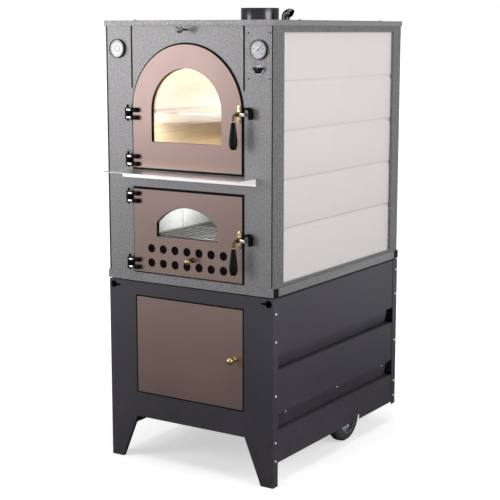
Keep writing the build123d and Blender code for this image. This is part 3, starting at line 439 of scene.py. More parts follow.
class Piece:
    """Gathers shapes into one mesh, each with its own finish."""

    def __init__(self, name):
        self.name = name
        self.mesh = bmesh.new()
        self.finishes = []

    def index(self, finish):
        if finish not in self.finishes:
            self.finishes.append(finish)
        return self.finishes.index(finish)

    def take(self, shape, finish):
        bmesh.ops.recalc_face_normals(shape, faces=shape.faces)
        slot = self.index(finish)
        for face in shape.faces:
            face.material_index = slot
        scratch = bpy.data.meshes.new("scratch")
        shape.to_mesh(scratch)
        shape.free()
        self.mesh.from_mesh(scratch)
        bpy.data.meshes.remove(scratch)

    def lathe(self, profile, centre, axis, finish, steps=48, closed=False, six=()):
        """Turns (radius, along) points in millimetres about an axis; rings listed in six are hexagons."""
        shape = bmesh.new()
        rings = []
        for index, (radius, along) in enumerate(profile):
            if radius < 1e-6:
                rings.append([shape.verts.new(centre + spin(axis, 0, along, 0))])
                continue
            ring = []
            for i in range(steps):
                turn = math.tau * i / steps
                reach = radius * math.cos(math.pi / 6) / math.cos(turn % (math.pi / 3) - math.pi / 6)
                ring.append(shape.verts.new(centre + spin(axis, reach if index in six else radius, along, turn)))
            rings.append(ring)
        pairs = list(zip(rings, rings[1:])) + ([(rings[-1], rings[0])] if closed else [])
        for a, b in pairs:
            for i in range(steps):
                j = (i + 1) % steps
                corners = [a[i % len(a)], a[j % len(a)], b[j % len(b)], b[i % len(b)]]
                unique = list(dict.fromkeys(corners))
                if len(unique) > 2:
                    shape.faces.new(unique)
        self.take(shape, finish)

    def sweep(self, points, radii, finish, steps=20, flat=1.0, hollow=0.0):
        """A round or flattened bar, or a tube, along points of the frame."""
        shape = bmesh.new()
        heading = [(b - a).normalized() for a, b in zip(points, points[1:])]
        heading = [heading[0]] + [(a + b).normalized() for a, b in zip(heading, heading[1:])] + [heading[-1]]
        side = heading[0].orthogonal().normalized()
        if abs(heading[0].x) < 0.9:
            side = (Vector((1, 0, 0)) - heading[0] * heading[0].x).normalized()
        shells = [[]] if not hollow else [[], []]
        for point, ahead, radius in zip(points, heading, radii):
            side = (side - ahead * side.dot(ahead)).normalized()
            other = ahead.cross(side)
            for shell, shrink in zip(shells, (0.0, hollow)):
                r = (radius - shrink) * MM
                shell.append([shape.verts.new(point + side * (r * math.cos(t)) + other * (r * flat * math.sin(t)))
                              for t in (math.tau * i / steps for i in range(steps))])
        for shell in shells:
            for a, b in zip(shell, shell[1:]):
                for i in range(steps):
                    j = (i + 1) % steps
                    shape.faces.new((a[i], a[j], b[j], b[i]))
        for end in (0, -1):
            if hollow:
                for i in range(steps):
                    j = (i + 1) % steps
                    shape.faces.new((shells[0][end][i], shells[0][end][j], shells[1][end][j], shells[1][end][i]))
            else:
                shape.faces.new(shells[0][end])
        self.take(shape, finish)

    def slab(self, outline, near, far, finish, edge=0.8):
        """An (x, z) outline in millimetres between two depths, with rounded edges."""
        shape = bmesh.new()
        front = [shape.verts.new(at(x, near, z)) for x, z in outline]
        back = [shape.verts.new(at(x, far, z)) for x, z in outline]
        shape.faces.new(front)
        shape.faces.new(back)
        count = len(outline)
        for i in range(count):
            j = (i + 1) % count
            shape.faces.new((front[i], front[j], back[j], back[i]))
        bmesh.ops.recalc_face_normals(shape, faces=shape.faces)
        if edge:
            sharp = [e for e in shape.edges if e.calc_face_angle(0) > math.radians(35)]
            bmesh.ops.bevel(shape, geom=sharp, offset=edge * MM, segments=2, profile=0.5, affect="EDGES")
        self.take(shape, finish)

    def brick(self, x0, x1, near, far, z0, z1, finish, edge=0.8):
        self.slab([(x0, z0), (x1, z0), (x1, z1), (x0, z1)], near, far, finish, edge)

    def loose(self):
        """The shapes as an object that belongs to nothing yet, to be a pattern for a node tree."""
        data = bpy.data.meshes.new(self.name)
        self.mesh.to_mesh(data)
        self.mesh.free()
        item = bpy.data.objects.new(self.name, data)
        bpy.context.scene.collection.objects.link(item)
        return item

    def done(self, body, replaced=(), corner=35):
        """One smooth-shaded object on its body, standing for the nodes it replaces."""
        bmesh.ops.remove_doubles(self.mesh, verts=self.mesh.verts, dist=1e-7)
        for edge in self.mesh.edges:
            edge.smooth = edge.calc_face_angle(0) < math.radians(corner)
        for face in self.mesh.faces:
            face.smooth = True
        data = bpy.data.meshes.new(self.name)
        self.mesh.to_mesh(data)
        self.mesh.free()
        return settle(data, self.name, self.finishes, body, replaced)


def settle(data, name, finishes, body, replaced=()):
    if data.materials:
        data.materials.clear()
    for finish in finishes:
        data.materials.append(FINISH[finish])
    item = bpy.data.objects.new(name, data)
    bpy.context.scene.collection.objects.link(item)
    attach(item, body)
    if replaced:
        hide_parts(*replaced)
    return item


def spin(axis, radius, along, turn):
    across, up = radius * math.cos(turn) * MM, radius * math.sin(turn) * MM
    along *= MM
    return {"X": Vector((along, across, up)), "Y": Vector((across, along, up)),
            "Z": Vector((across, up, along))}[axis]


def arc(centre, radius, start, end, count):
    """Points (a, b) on an arc, angles in degrees."""
    steps = [math.radians(start + (end - start) * i / (count - 1)) for i in range(count)]
    return [(centre[0] + radius * math.cos(t), centre[1] + radius * math.sin(t)) for t in steps]


# ---- repeated things grown from node trees ----
def grow(tree, name, points, finish, **settings):
    """Runs a tree over a mesh of points and keeps the result as a plain mesh."""
    carrier = bpy.data.objects.new("carrier", points)
    bpy.context.scene.collection.objects.link(carrier)
    modifier = carrier.modifiers.new("grow", "NODES")
    modifier.node_group = tree
    named = {item.name: item.identifier for item in tree.interface.items_tree if item.in_out == "INPUT"}
    modifier[named["Finish"]] = FINISH[finish]
    for label, value in settings.items():
        modifier[named[label.replace("_", " ")]] = value
    carrier.update_tag()
    ready = carrier.evaluated_get(bpy.context.evaluated_depsgraph_get())
    data = bpy.data.meshes.new_from_object(ready)
    data.name = name
    bpy.data.objects.remove(carrier)
    return data


def share_edges(data, corner=35):
    """Smooth shading with edges past that many degrees kept crisp."""
    shape = bmesh.new()
    shape.from_mesh(data)
    bmesh.ops.remove_doubles(shape, verts=shape.verts, dist=1e-7)
    for edge in shape.edges:
        edge.smooth = edge.calc_face_angle(0) < math.radians(corner)
    for face in shape.faces:
        face.smooth = True
    shape.to_mesh(data)
    shape.free()
    return data


GEOMETRY, WHOLE, THING, PAINT = ("NodeSocketGeometry", "NodeSocketInt", "NodeSocketObject",
                                 "NodeSocketMaterial")


def finish_tree(tree, given, out, geometry):
    real = add(tree, "GeometryNodeRealizeInstances", {"Geometry": geometry})
    painted = add(tree, "GeometryNodeSetMaterial", {"Geometry": real.outputs[0], "Material": given["Finish"]})
    tree.links.new(painted.outputs[0], out["Geometry"])
    return tree


def heads_tree():
    """A head on every point, standing along the point's aim and turned at random about it."""
    tree, given, out = new_group(
        "heads_on_points", "GeometryNodeTree",
        [("Geometry", GEOMETRY, None), ("Head", THING, None), ("Seed", WHOLE, 3), ("Finish", PAINT, None)],
        [("Geometry", GEOMETRY)])
    head = add(tree, "GeometryNodeObjectInfo", {"Object": given["Head"]})
    aim = add(tree, "GeometryNodeInputNamedAttribute", {"Name": "aim"}, data_type="FLOAT_VECTOR")
    facing = add(tree, "FunctionNodeAlignRotationToVector", {"Vector": aim.outputs["Attribute"]}, axis="Z")
    turn = add(tree, "FunctionNodeRandomValue", {2: 0.0, 3: math.tau, "Seed": given["Seed"]}, data_type="FLOAT")
    about = add(tree, "FunctionNodeAxisAngleToRotation", {"Angle": turn.outputs[1]})
    spun = add(tree, "FunctionNodeRotateRotation", {"Rotation": facing.outputs[0], "Rotate By": about.outputs[0]},
               rotation_space="LOCAL")
    placed = add(tree, "GeometryNodeInstanceOnPoints", {"Points": given["Geometry"], "Rotation": spun.outputs[0],
                                                        "Instance": head.outputs["Geometry"]})
    return finish_tree(tree, given, out, placed.outputs[0])


def wires_tree():
    """Parallel round wires side by side along X, each running back along Y."""
    tree, given, out = new_group(
        "parallel_wires", "GeometryNodeTree",
        [("Geometry", GEOMETRY, None), ("Count", WHOLE, 15), ("Pitch", NUMBER, 0.026), ("Length", NUMBER, 0.66),
         ("Radius", NUMBER, 0.0025), ("Finish", PAINT, None)],
        [("Geometry", GEOMETRY)])
    spans = math_node(tree, "SUBTRACT", given["Count"], 1.0)
    start = math_node(tree, "MULTIPLY", math_node(tree, "MULTIPLY", spans, given["Pitch"]), -0.5)
    first = add(tree, "ShaderNodeCombineXYZ", {"X": start})
    step = add(tree, "ShaderNodeCombineXYZ", {"X": given["Pitch"]})
    row = add(tree, "GeometryNodeMeshLine", {"Count": given["Count"], "Start Location": first.outputs[0],
                                             "Offset": step.outputs[0]}, mode="OFFSET")
    end = add(tree, "ShaderNodeCombineXYZ", {"Y": given["Length"]})
    line = add(tree, "GeometryNodeCurvePrimitiveLine", {"End": end.outputs[0]})
    ring = add(tree, "GeometryNodeCurvePrimitiveCircle", {"Resolution": 12, "Radius": given["Radius"]})
    wire = add(tree, "GeometryNodeCurveToMesh", {"Curve": line.outputs[0], "Profile Curve": ring.outputs[0],
                                                 "Fill Caps": True})
    placed = add(tree, "GeometryNodeInstanceOnPoints", {"Points": row.outputs[0], "Instance": wire.outputs[0]})
    return finish_tree(tree, given, out, placed.outputs[0])


def ticks_tree():
    """Division marks round a dial in the XZ plane; every so many is a long one."""
    tree, given, out = new_group(
        "dial_ticks", "GeometryNodeTree",
        [("Geometry", GEOMETRY, None), ("Count", WHOLE, 51), ("Long Every", WHOLE, 5), ("Radius", NUMBER, 0.028),
         ("Start", NUMBER, 3.927), ("Sweep", NUMBER, 4.712), ("Finish", PAINT, None)],
        [("Geometry", GEOMETRY)])
    row = add(tree, "GeometryNodeMeshLine", {"Count": given["Count"]}, mode="OFFSET")
    index = add(tree, "GeometryNodeInputIndex").outputs[0]
    share = math_node(tree, "DIVIDE", index, math_node(tree, "SUBTRACT", given["Count"], 1.0))
    angle = math_node(tree, "SUBTRACT", given["Start"], math_node(tree, "MULTIPLY", share, given["Sweep"]))
    spot = add(tree, "ShaderNodeCombineXYZ", {
        "X": math_node(tree, "MULTIPLY", math_node(tree, "COSINE", angle), given["Radius"]),
        "Z": math_node(tree, "MULTIPLY", math_node(tree, "SINE", angle), given["Radius"])})
    laid = add(tree, "GeometryNodeSetPosition", {"Geometry": row.outputs[0], "Position": spot.outputs[0]})
    about = add(tree, "FunctionNodeAxisAngleToRotation",
                {"Axis": (0.0, 1.0, 0.0), "Angle": math_node(tree, "MULTIPLY", angle, -1.0)})
    short = math_node(tree, "MODULO", index, given["Long Every"])
    is_short = math_node(tree, "GREATER_THAN", short, 0.5)
    size = add(tree, "ShaderNodeCombineXYZ", {
        "X": remap(tree, is_short, 0.0, 1.0, 1.0, 0.55), "Y": 1.0, "Z": remap(tree, is_short, 0.0, 1.0, 1.0, 0.6)})
    mark = add(tree, "GeometryNodeMeshCube", {"Size": (0.0048, 0.0002, 0.0009)})
    placed = add(tree, "GeometryNodeInstanceOnPoints", {
        "Points": laid.outputs[0], "Instance": mark.outputs[0], "Rotation": about.outputs[0],
        "Scale": size.outputs[0]})
    return finish_tree(tree, given, out, placed.outputs[0])


def bricks_tree():
    """Boxes broken into small faces whose corners wander, as pressed clay does."""
    tree, given, out = new_group(
        "rough_bricks", "GeometryNodeTree",
        [("Geometry", GEOMETRY, None), ("Level", WHOLE, 4), ("Grain", NUMBER, 45.0), ("Amount", NUMBER, 0.0022),
         ("Finish", PAINT, None)],
        [("Geometry", GEOMETRY)])
    fine = add(tree, "GeometryNodeSubdivideMesh", {"Mesh": given["Geometry"], "Level": given["Level"]})
    noise = add(tree, "ShaderNodeTexNoise", {"Scale": given["Grain"], "Detail": 4.0})
    depth = math_node(tree, "MULTIPLY", math_node(tree, "SUBTRACT", noise.outputs["Fac"], 0.75), given["Amount"])
    normal = add(tree, "GeometryNodeInputNormal").outputs[0]
    push = add(tree, "ShaderNodeVectorMath", {0: normal, "Scale": depth}, operation="SCALE")
    moved = add(tree, "GeometryNodeSetPosition", {"Geometry": fine.outputs[0], "Offset": push.outputs[0]})
    return finish_tree(tree, given, out, moved.outputs[0])


def rope_tree():
    """A twisted rope with lobed strands laid along edges."""
    tree, given, out = new_group(
        "sealing_rope", "GeometryNodeTree",
        [("Geometry", GEOMETRY, None), ("Step", NUMBER, 0.004), ("Twist", NUMBER, 0.55), ("Radius", NUMBER, 0.0035),
         ("Finish", PAINT, None)],
        [("Geometry", GEOMETRY)])
    path = add(tree, "GeometryNodeMeshToCurve", {"Mesh": given["Geometry"]})
    even = add(tree, "GeometryNodeResampleCurve", {"Curve": path.outputs[0]}, mode="LENGTH")
    tree.links.new(given["Step"], even.inputs["Length"])
    index = add(tree, "GeometryNodeInputIndex").outputs[0]
    tilt = add(tree, "GeometryNodeSetCurveTilt", {"Curve": even.outputs[0],
                                                  "Tilt": math_node(tree, "MULTIPLY", index, given["Twist"])})
    dip = math_node(tree, "MULTIPLY", given["Radius"], 0.78)
    star = add(tree, "GeometryNodeCurveStar", {"Points": 4, "Inner Radius": dip, "Outer Radius": given["Radius"]})
    rope = add(tree, "GeometryNodeCurveToMesh", {"Curve": tilt.outputs[0], "Profile Curve": star.outputs[0],
                                                 "Fill Caps": True})
    return finish_tree(tree, given, out, rope.outputs[0])


def points_mesh(places):
    """Points with the direction each one's head stands in."""
    data = bpy.data.meshes.new("points")
    data.from_pydata([spot for spot, _ in places], [], [])
    aims = data.attributes.new("aim", "FLOAT_VECTOR", "POINT")
    for item, (_, aim) in zip(aims.data, places):
        item.vector = aim
    return data


def heads(name, profile, places, finish, replaced, seed, six=()):
    """A row of turned heads on body oven."""
    pattern = Piece("pattern")
    pattern.lathe(profile, Vector(), "Z", finish, steps=24, six=six)
    source = pattern.loose()
    data = grow(HEADS, name, points_mesh(places), finish, Head=source, Seed=seed)
    bpy.data.objects.remove(source)
    return settle(share_edges(data), name, [finish], "oven", replaced)


HEADS = heads_tree()
WIRES = wires_tree()
TICKS = ticks_tree()
BRICKS = bricks_tree()
ROPE = rope_tree()


# ---- casing ----
def casing():
    dress("hammered_grey", "lid", "front_panel", "rear_panel", "base_frame", edge=0.7)
    dress("hammered_grey", "instrument_plate", edge=0.3)
    dress("hammered_side", "side_frames", edge=0.8)
    dress("cap_plastic", "tube_end_caps", edge=0.6)
    dress("stainless", "shelf", edge=0.6)
    dress("black_coat", "door_frames", edge=0.6)
    dress("mill_steel", "smoke_jacket", "ash_drawer", edge=0.4)
    dress("firebox_steel", "firebox", edge=0.4)
    dress("cast_iron", "fire_grate", edge=1.0)
    dress("chamber_steel", "baking_chamber", edge=0.3)
    dress("ceramic_wool", "insulation_blanket", edge=2.0)


def side_panels():
    """Pale side sheets with rolled beads, each a shallow channel with two soft steps."""
    low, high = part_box("side_panels")
    face = high.x / MM
    outline = [(face, low.z / MM)]
    for z in RIBS:
        for step, sink in ((-12, 0), (-10, 0.3), (-8, 1.6), (-6.5, 2.7), (-4.5, 3.0), (4.5, 3.0), (6.5, 2.7),
                           (8, 1.6), (10, 0.3), (12, 0)):
            outline.append((face - sink, z + step))
    outline.append((face, high.z / MM))
    outline += [(x - 1.5, z) for x, z in reversed(outline)]
    near, far = ((y - FRONT) / MM for y in (low.y, high.y))
    piece = Piece("ribbed_side_panels")
    for side in SIDES:
        piece.slab([(side * x, z) for x, z in outline], near, far, "pale_coat", edge=0)
    piece.done("oven", ["side_panels"], corner=50)


def screws():
    dome = [(0, 1.0), (1.9, 1.0), (2.0, 2.5), (3.0, 2.4), (4.4, 1.7), (5.0, 0.6), (5.0, -0.5), (0, -0.5)]
    places = [(at(s * 241.0, d, 1700.0), (0, 0, 1)) for s in SIDES for d in (10.0, 984.0)]
    places += [(at(s * 362.0, d, 1700.0), (0, 0, 1)) for s in SIDES for d in (193.0, 823.0)]
    heads("lid_screws", dome, places, "black_coat", ["black_screws"], 5, six=(1, 2))
    small = [(0, 0.5), (1.0, 0.5), (1.1, 1.6), (2.4, 1.2), (3.0, 0.4), (3.0, -0.3), (0, -0.3)]
    places = [(at(x, -1.5, z), (0, -1, 0)) for x in (269.5, 359.5) for z in (1495.5, 1654.5)]
    heads("instrument_screws", small, places, "black_coat", ["black_screws"], 8, six=(1, 2))
    bolt = [(0, 1.4), (2.5, 1.4), (2.7, 3.5), (4.2, 3.2), (5.8, 2.1), (6.5, 0.8), (6.5, 0.0), (3.0, 0.0),
            (3.0, -6.8), (0, -6.8)]
    places = []
    for depth, heights in ((18.0, (653.0, 549.0, 346.0, 168.5, 98.5)), (984.0, (665.0, 561.0, 360.0, 181.0, 114.5))):
        places += [(at(s * 375.0, depth, z), (s, 0, 0)) for s in SIDES for z in heights]
    heads("trolley_bolt_heads", bolt, places, "zinc_plate_and_painted_light", ["trolley_bolts"], 11, six=(1, 2))
    places = [(at(s * 370.9, depth, 270.0), Vector((s * 61, 0, -20)).normalized())
              for s in SIDES for depth in (95.0, 488.0, 873.0)]
    flap = [(0, 0.8), (1.5, 0.8), (1.6, 2.6), (3.0, 2.3), (4.4, 1.2), (4.8, 0.2), (4.8, -0.6), (0, -0.6)]
    heads("flap_screws", flap, places, "zinc_plate_and_painted_light", (), 14, six=(1, 2))


# ---- instruments ----
DIAL = (314.0, 1596.5)
SWITCH_Z = 1526.0


def ring_and_lip(piece, x, back):
    """A plated lip on a black-painted case; its black side and inner wall are partly painted shade."""
    centre = at(x, 0, DIAL[1])
    # black case walls: partly painted shade on the side and inner wall
    piece.lathe([(35.0, back), (35.0, -9.4), (34.4, -9.8), (31.4, -9.8), (31.4, back)], centre, "Y", "black_coat",
                steps=72, closed=True)
    piece.lathe([(34.6, -9.8), (34.4, -10.6), (33.6, -11.0), (33.0, -10.8), (32.0, -9.8)], centre, "Y", "mill_steel",
                steps=72, closed=True)


def numeral(text, size, centre):
    """A raised figure facing the front, as a mesh."""
    curve = bpy.data.curves.new("figure", "FONT")
    curve.body = text
    curve.size = size * MM
    curve.align_x = curve.align_y = "CENTER"
    curve.extrude = 0.06 * MM
    curve.resolution_u = 3
    letter = bpy.data.objects.new("figure", curve)
    bpy.context.scene.collection.objects.link(letter)
    ready = letter.evaluated_get(bpy.context.evaluated_depsgraph_get())
    data = bpy.data.meshes.new_from_object(ready)
    bpy.data.objects.remove(letter)
    data.transform(Matrix.Translation(centre) @ Matrix.Rotation(math.radians(90), 4, "X"))
    return data


def thermometer():
    x, z = DIAL
    case = Piece("thermometer_bezel")
    ring_and_lip(case, x, -1.5)
    case.lathe([(0, -1.5), (32.5, -1.5), (32.5, 16.0), (30.5, 18.0), (0, 18.0)], at(x, 0, z), "Y", "mill_steel")
    case.done("oven", ["thermometer_case"])
    face = Piece("thermometer_face")
    face.lathe([(0, -8.0), (30.6, -8.0), (31.2, -7.6), (31.2, -7.0), (0, -7.0)], at(x, 0, z), "Y", "white_enamel_and_highlight",
               steps=72)
    for value in range(0, 600, 100):
        turn = math.radians(225 - 270 * value / 500)
        spot = at(x + 19.5 * math.cos(turn), -8.08, z + 19.5 * math.sin(turn))
        data = numeral(str(value), 6.2, spot)
        figures = bmesh.new()
        figures.from_mesh(data)
        face.take(figures, "black_print_and_slot_shade")
    face.lathe([(13.0, -8.2), (13.5, -8.2), (13.5, -8.0), (13.0, -8.0)], at(x, 0, z), "Y", "black_print_and_slot_shade",
               closed=True)
    face.done("oven", ["thermometer_dial"])
    marks = grow(TICKS, "thermometer_marks", bpy.data.meshes.new("empty"), "black_print_and_slot_shade", Count=51, Long_Every=5)
    marks.transform(Matrix.Translation(at(x, -8.05, z)))
    settle(share_edges(marks), "thermometer_marks", ["black_print_and_slot_shade"], "oven", ())
    pane = Piece("thermometer_glass")
    pane.lathe([(0, -10.4), (20, -10.35), (31.6, -10.0), (31.6, -9.7), (0, -9.8)], at(x, 0, z), "Y", "clear_pane")
    pane.done("oven")
    needle = Piece("thermometer_pointer")
    lean = math.radians(40)
    outline = [(-8, -1.7), (-8, 1.7), (2, 1.5), (24, 0.7), (26, 0.0), (24, -0.7), (2, -1.5)]
    turned = [(x + a * math.cos(lean) - b * math.sin(lean), z + a * math.sin(lean) + b * math.cos(lean))
              for a, b in outline]
    needle.slab(turned, -9.2, -8.6, "black_print_and_slot_shade", edge=0.15)
    needle.lathe([(0, -9.6), (2.2, -9.6), (3.2, -9.3), (3.2, -8.5), (0, -8.5)], at(x, 0, z), "Y", "black_print_and_slot_shade",
                 steps=24)
    needle.done("thermometer_needle", ["thermometer_needle"])


def round_badge():
    piece = Piece("blank_badge")
    ring_and_lip(piece, -DIAL[0], 0.0)
    centre = at(-DIAL[0], 0, DIAL[1])
    piece.lathe([(0, -7.0), (29.0, -7.0), (31.4, -7.6), (31.4, -6.0), (0, -6.0)], centre, "Y", "white_enamel_and_highlight",
                steps=72)
    piece.lathe([(24.0, -7.0), (24.4, -7.5), (25.2, -7.5), (25.6, -7.0)], centre, "Y", "mill_steel", steps=72,
                closed=True)
    piece.lathe([(9.0, -7.0), (9.4, -7.9), (12.6, -7.9), (13.0, -7.0)], centre, "Y", "mill_steel", steps=48,
                closed=True)
    piece.done("oven", ["badge"])


def rotary_switch():
    x = DIAL[0]
    centre = at(x, 0, SWITCH_Z)
    plate = Piece("switch_rosette")
    # The rosette's white is painted highlight, standing in for the bright reflections on a plated rosette.
    plate.lathe([(0, -3.6), (12.5, -3.6), (13.5, -4.4), (16.0, -4.4), (17.0, -3.7), (17.5, -2.4), (17.5, -1.5),
                 (11.5, -1.5), (11.5, 16.0), (0, 16.0)], centre, "Y", "white_enamel_and_highlight", steps=64)
    plate.done("oven", ["switch_bezel"])
    knob = Piece("switch_wing_knob")
    outline = [(-22, 9), (-21, 9.5), (21, 9.5), (22, 9), (20, 4), (14, -4), (9, -11), (6, -12), (-6, -12), (-9, -11),
               (-14, -4), (-20, 4)]
    knob.slab([(x + a, SWITCH_Z + b) for a, b in outline], -13.0, -5.0, "cap_plastic", edge=1.0)
    knob.brick(x - 0.7, x + 0.7, -13.15, -12.5, SWITCH_Z + 4.2, SWITCH_Z + 8.0, "white_enamel_and_highlight", edge=0.1)
    knob.lathe([(0, -6.0), (3.0, -6.0), (3.0, 9.8), (0, 9.8)], centre, "Y", "mill_steel", steps=20)
    knob.done("switch_knob", ["switch_knob"])


# ---- hinges, catches and latches ----
HINGE = (-262.0, -14.0)
UPPER_HINGES = (1356.0, 1182.0)
LOWER_HINGES = (1042.0, 788.0)
LATCH_X = 235.0
LATCHES = (("upper", 1368.7), ("lower", 916.0))


def hinges():
    x, depth = HINGE
    fixed = Piece("hinge_brackets")
    for z in UPPER_HINGES + LOWER_HINGES:
        fixed.lathe([(3.6, z - 5.5), (9.7, z - 5.5), (10.5, z - 4.7), (10.5, z + 4.7), (9.7, z + 5.5), (3.6, z + 5.5)],
                    at(x, depth, 0), "Z", "black_coat", steps=32, closed=True)
        fixed.brick(x - 8.0, x + 10.5, depth + 4.5, 0, z - 5.5, z + 5.5, "black_coat", edge=1.2)
        fixed.lathe([(0, z - 28), (2.8, z - 28), (3.5, z - 27.2), (3.5, z + 26), (5.2, z + 26.2), (5.6, z + 28),
                     (4.4, z + 32), (2.0, z + 33), (0, z + 33)], at(x, depth, 0), "Z", "black_coat", steps=24)
    pin_x, pin_depth = -236.0, 9.0
    for low, high in ((650.0, 662.0), (272.0, 284.0)):
        fixed.lathe([(0, low), (2.6, low), (3.0, low + 0.5), (3.0, high - 0.5), (2.6, high), (0, high)],
                    at(pin_x, pin_depth, 0), "Z", "black_coat", steps=20)
    fixed.done("oven", ["frame_hinges"])
    for door, heights in (("upper", UPPER_HINGES), ("lower", LOWER_HINGES)):
        moving = Piece(f"{door}_hinge_straps")
        for z in heights:
            for low in (z + 6.0, z - 22.5):
                middle = low + 8.25
                moving.brick(-242.0, -214.0, -21.0, -7.0, low, low + 16.5, "black_coat", edge=2.4)
                moving.brick(x, -239.0, -19.0, -9.0, low + 1.0, low + 15.5, "black_coat", edge=1.0)
                moving.lathe([(3.6, low + 0.4), (9.7, low + 0.4), (10.4, low + 1.2), (10.4, low + 15.3),
                              (9.7, low + 16.1), (3.6, low + 16.1)], at(x, depth, 0), "Z", "black_coat", steps=32,
                             closed=True)
                # A bright zinc band across each knuckle's front stands in for the highlight there: painted highlight.
                moving.brick(x - 2.0, -241.0, -24.2, -18.0, middle - 3.6, middle + 3.6, "zinc_plate_and_painted_light", edge=1.0)
                for screw in (-234.0, -221.0):
                    moving.lathe([(0, -22.0), (1.6, -21.9), (2.6, -21.3), (2.8, -20.5), (0, -20.5)],
                                 at(screw, 0, middle), "Y", "black_coat", steps=16)
        moving.done(f"{door}_door", [f"{door}_door_lugs"])


def catches():
    piece = Piece("catch_hooks")
    for _, z in LATCHES:
        spring = z + 8.0
        outer = arc((272.0, spring), 18.0, 180, 0, 15)
        inner = arc((272.0, spring), 10.5, 0, 180, 11)
        outline = outer + [(290.0, z - 17.0), (282.5, z - 17.0)] + inner
        piece.slab(outline, -26.0, -14.0, "black_coat", edge=2.4)
        foot = outer[4:] + [(290.0, z - 17.0), (283.5, z - 17.0)] + inner[:8]
        piece.slab(foot, -15.0, 0.0, "black_coat", edge=1.6)
    piece.done("oven", ["latch_catches"], corner=50)


def latches():
    for door, z in LATCHES:
        plate = Piece(f"{door}_latch_plate")
        rounded = arc((LATCH_X, z + 25.0), 7.2, 0, 180, 13) + arc((LATCH_X, z - 25.0), 7.2, 180, 360, 13)
        plate.slab(rounded, -10.0, -7.0, "bright_brass", edge=0.8)
        for rise in (-22.0, 22.0):
            centre = at(LATCH_X, 0, z + rise)
            plate.lathe([(0, -11.9), (2.0, -11.8), (3.6, -11.0), (4.2, -10.0), (4.2, -9.5), (0, -9.5)], centre, "Y",
                        "bright_brass", steps=24)
            # A black bar across each screw head stands in for its slot: painted shade.
            plate.brick(LATCH_X - 3.4, LATCH_X + 3.4, -11.95, -11.0, z + rise - 0.5, z + rise + 0.5, "black_print_and_slot_shade",
                        edge=0)
        plate.lathe([(0, -22.0), (4.0, -22.0), (4.0, -9.5), (0, -9.5)], at(LATCH_X, 0, z), "Y", "dark_bronze",
                    steps=24)
        plate.done(f"{door}_door", [f"{door}_latch_bracket"])

        lever = Piece(f"{door}_swan_neck")
        lever.lathe([(4.2, -10.6), (8.6, -10.6), (9.4, -11.4), (9.4, -14.5), (8.4, -15.5), (8.4, -20.0), (9.0, -21.0),
                     (8.4, -23.4), (6.0, -24.6), (4.2, -24.6)], at(LATCH_X, 0, z), "Y", "dark_bronze", closed=True)
        bend = 13.0
        path = [at(LATCH_X, -20.0, z), at(LATCH_X, -28.0, z)]
        path += [at(LATCH_X, depth, height)
                 for depth, height in arc((-48.0 + bend, z - bend), bend, 90, 180, 10)]
        path += [at(LATCH_X, -48.0, z - 19.0), at(LATCH_X, -48.0, z - 24.0)]
        radii = [6.2, 5.4] + [5.0 - 0.04 * i for i in range(10)] + [4.8, 5.2]
        lever.sweep(path, radii, "dark_bronze", steps=24)
        lever.lathe([(0, z - 22.0), (5.4, z - 22.0), (6.9, z - 22.8), (7.3, z - 24.0), (6.9, z - 25.4), (5.6, z - 26.2),
                     (0, z - 26.2)], at(LATCH_X, -48.0, 0), "Z", "bright_brass", steps=32)
        tongue = [(LATCH_X + 6, z + 5.5), (LATCH_X + 20, z + 5.5)]
        tongue += arc((LATCH_X + 24.0, z - 1.0), 7.0, 80, 0, 6)
        tongue += [(LATCH_X + 31.0, z - 5.0), (LATCH_X + 27.0, z - 7.0), (LATCH_X + 6, z - 6.0)]
        lever.slab(tongue, -22.0, -12.8, "zinc_plate_and_painted_light", edge=1.2)
        bottom = z - 125.0
        lever.lathe([(0, bottom + 1), (5.8, bottom + 1), (6.3, bottom - 0.6), (5.8, bottom - 2.2), (3.8, bottom - 3.0),
                     (3.4, bottom - 4.6), (2.0, bottom - 5.0), (0, bottom - 5.0)], at(LATCH_X, -48.0, 0), "Z",
                    "bright_brass", steps=32)
        lever.done(f"{door}_latch", [f"{door}_latch_lever"])

        grip = Piece(f"{door}_handle_grip")
        top = z - 26.0
        grip.lathe([(0, bottom), (5.0, bottom), (7.5, bottom + 1.2), (10.6, bottom + 5.0), (13.4, bottom + 11.0),
                    (15.0, bottom + 19.0), (15.5, bottom + 28.0), (15.1, bottom + 38.0), (14.0, bottom + 48.0),
                    (12.4, bottom + 61.0), (10.8, bottom + 73.0), (9.2, bottom + 85.0), (8.4, bottom + 92.0),
                    (8.0, top - 3.0), (6.8, top - 0.6), (0, top - 0.3)], at(LATCH_X, -48.0, 0), "Z", "grip_bakelite",
                   steps=40)
        grip.done(f"{door}_latch", [f"{door}_latch_grip"])


# ---- doors ----
def doors():
    dress("bronze_coat", "upper_door_plate", "lower_door_plate", "cupboard_door", edge=0.6)
    dress("black_coat", "upper_door_pan", "lower_door_pan", edge=0.4)
    dress("oven_glass", "upper_door_glass", "lower_door_glass", edge=0.3)
    dress("sooted_steel", "air_shutter", edge=0.3)


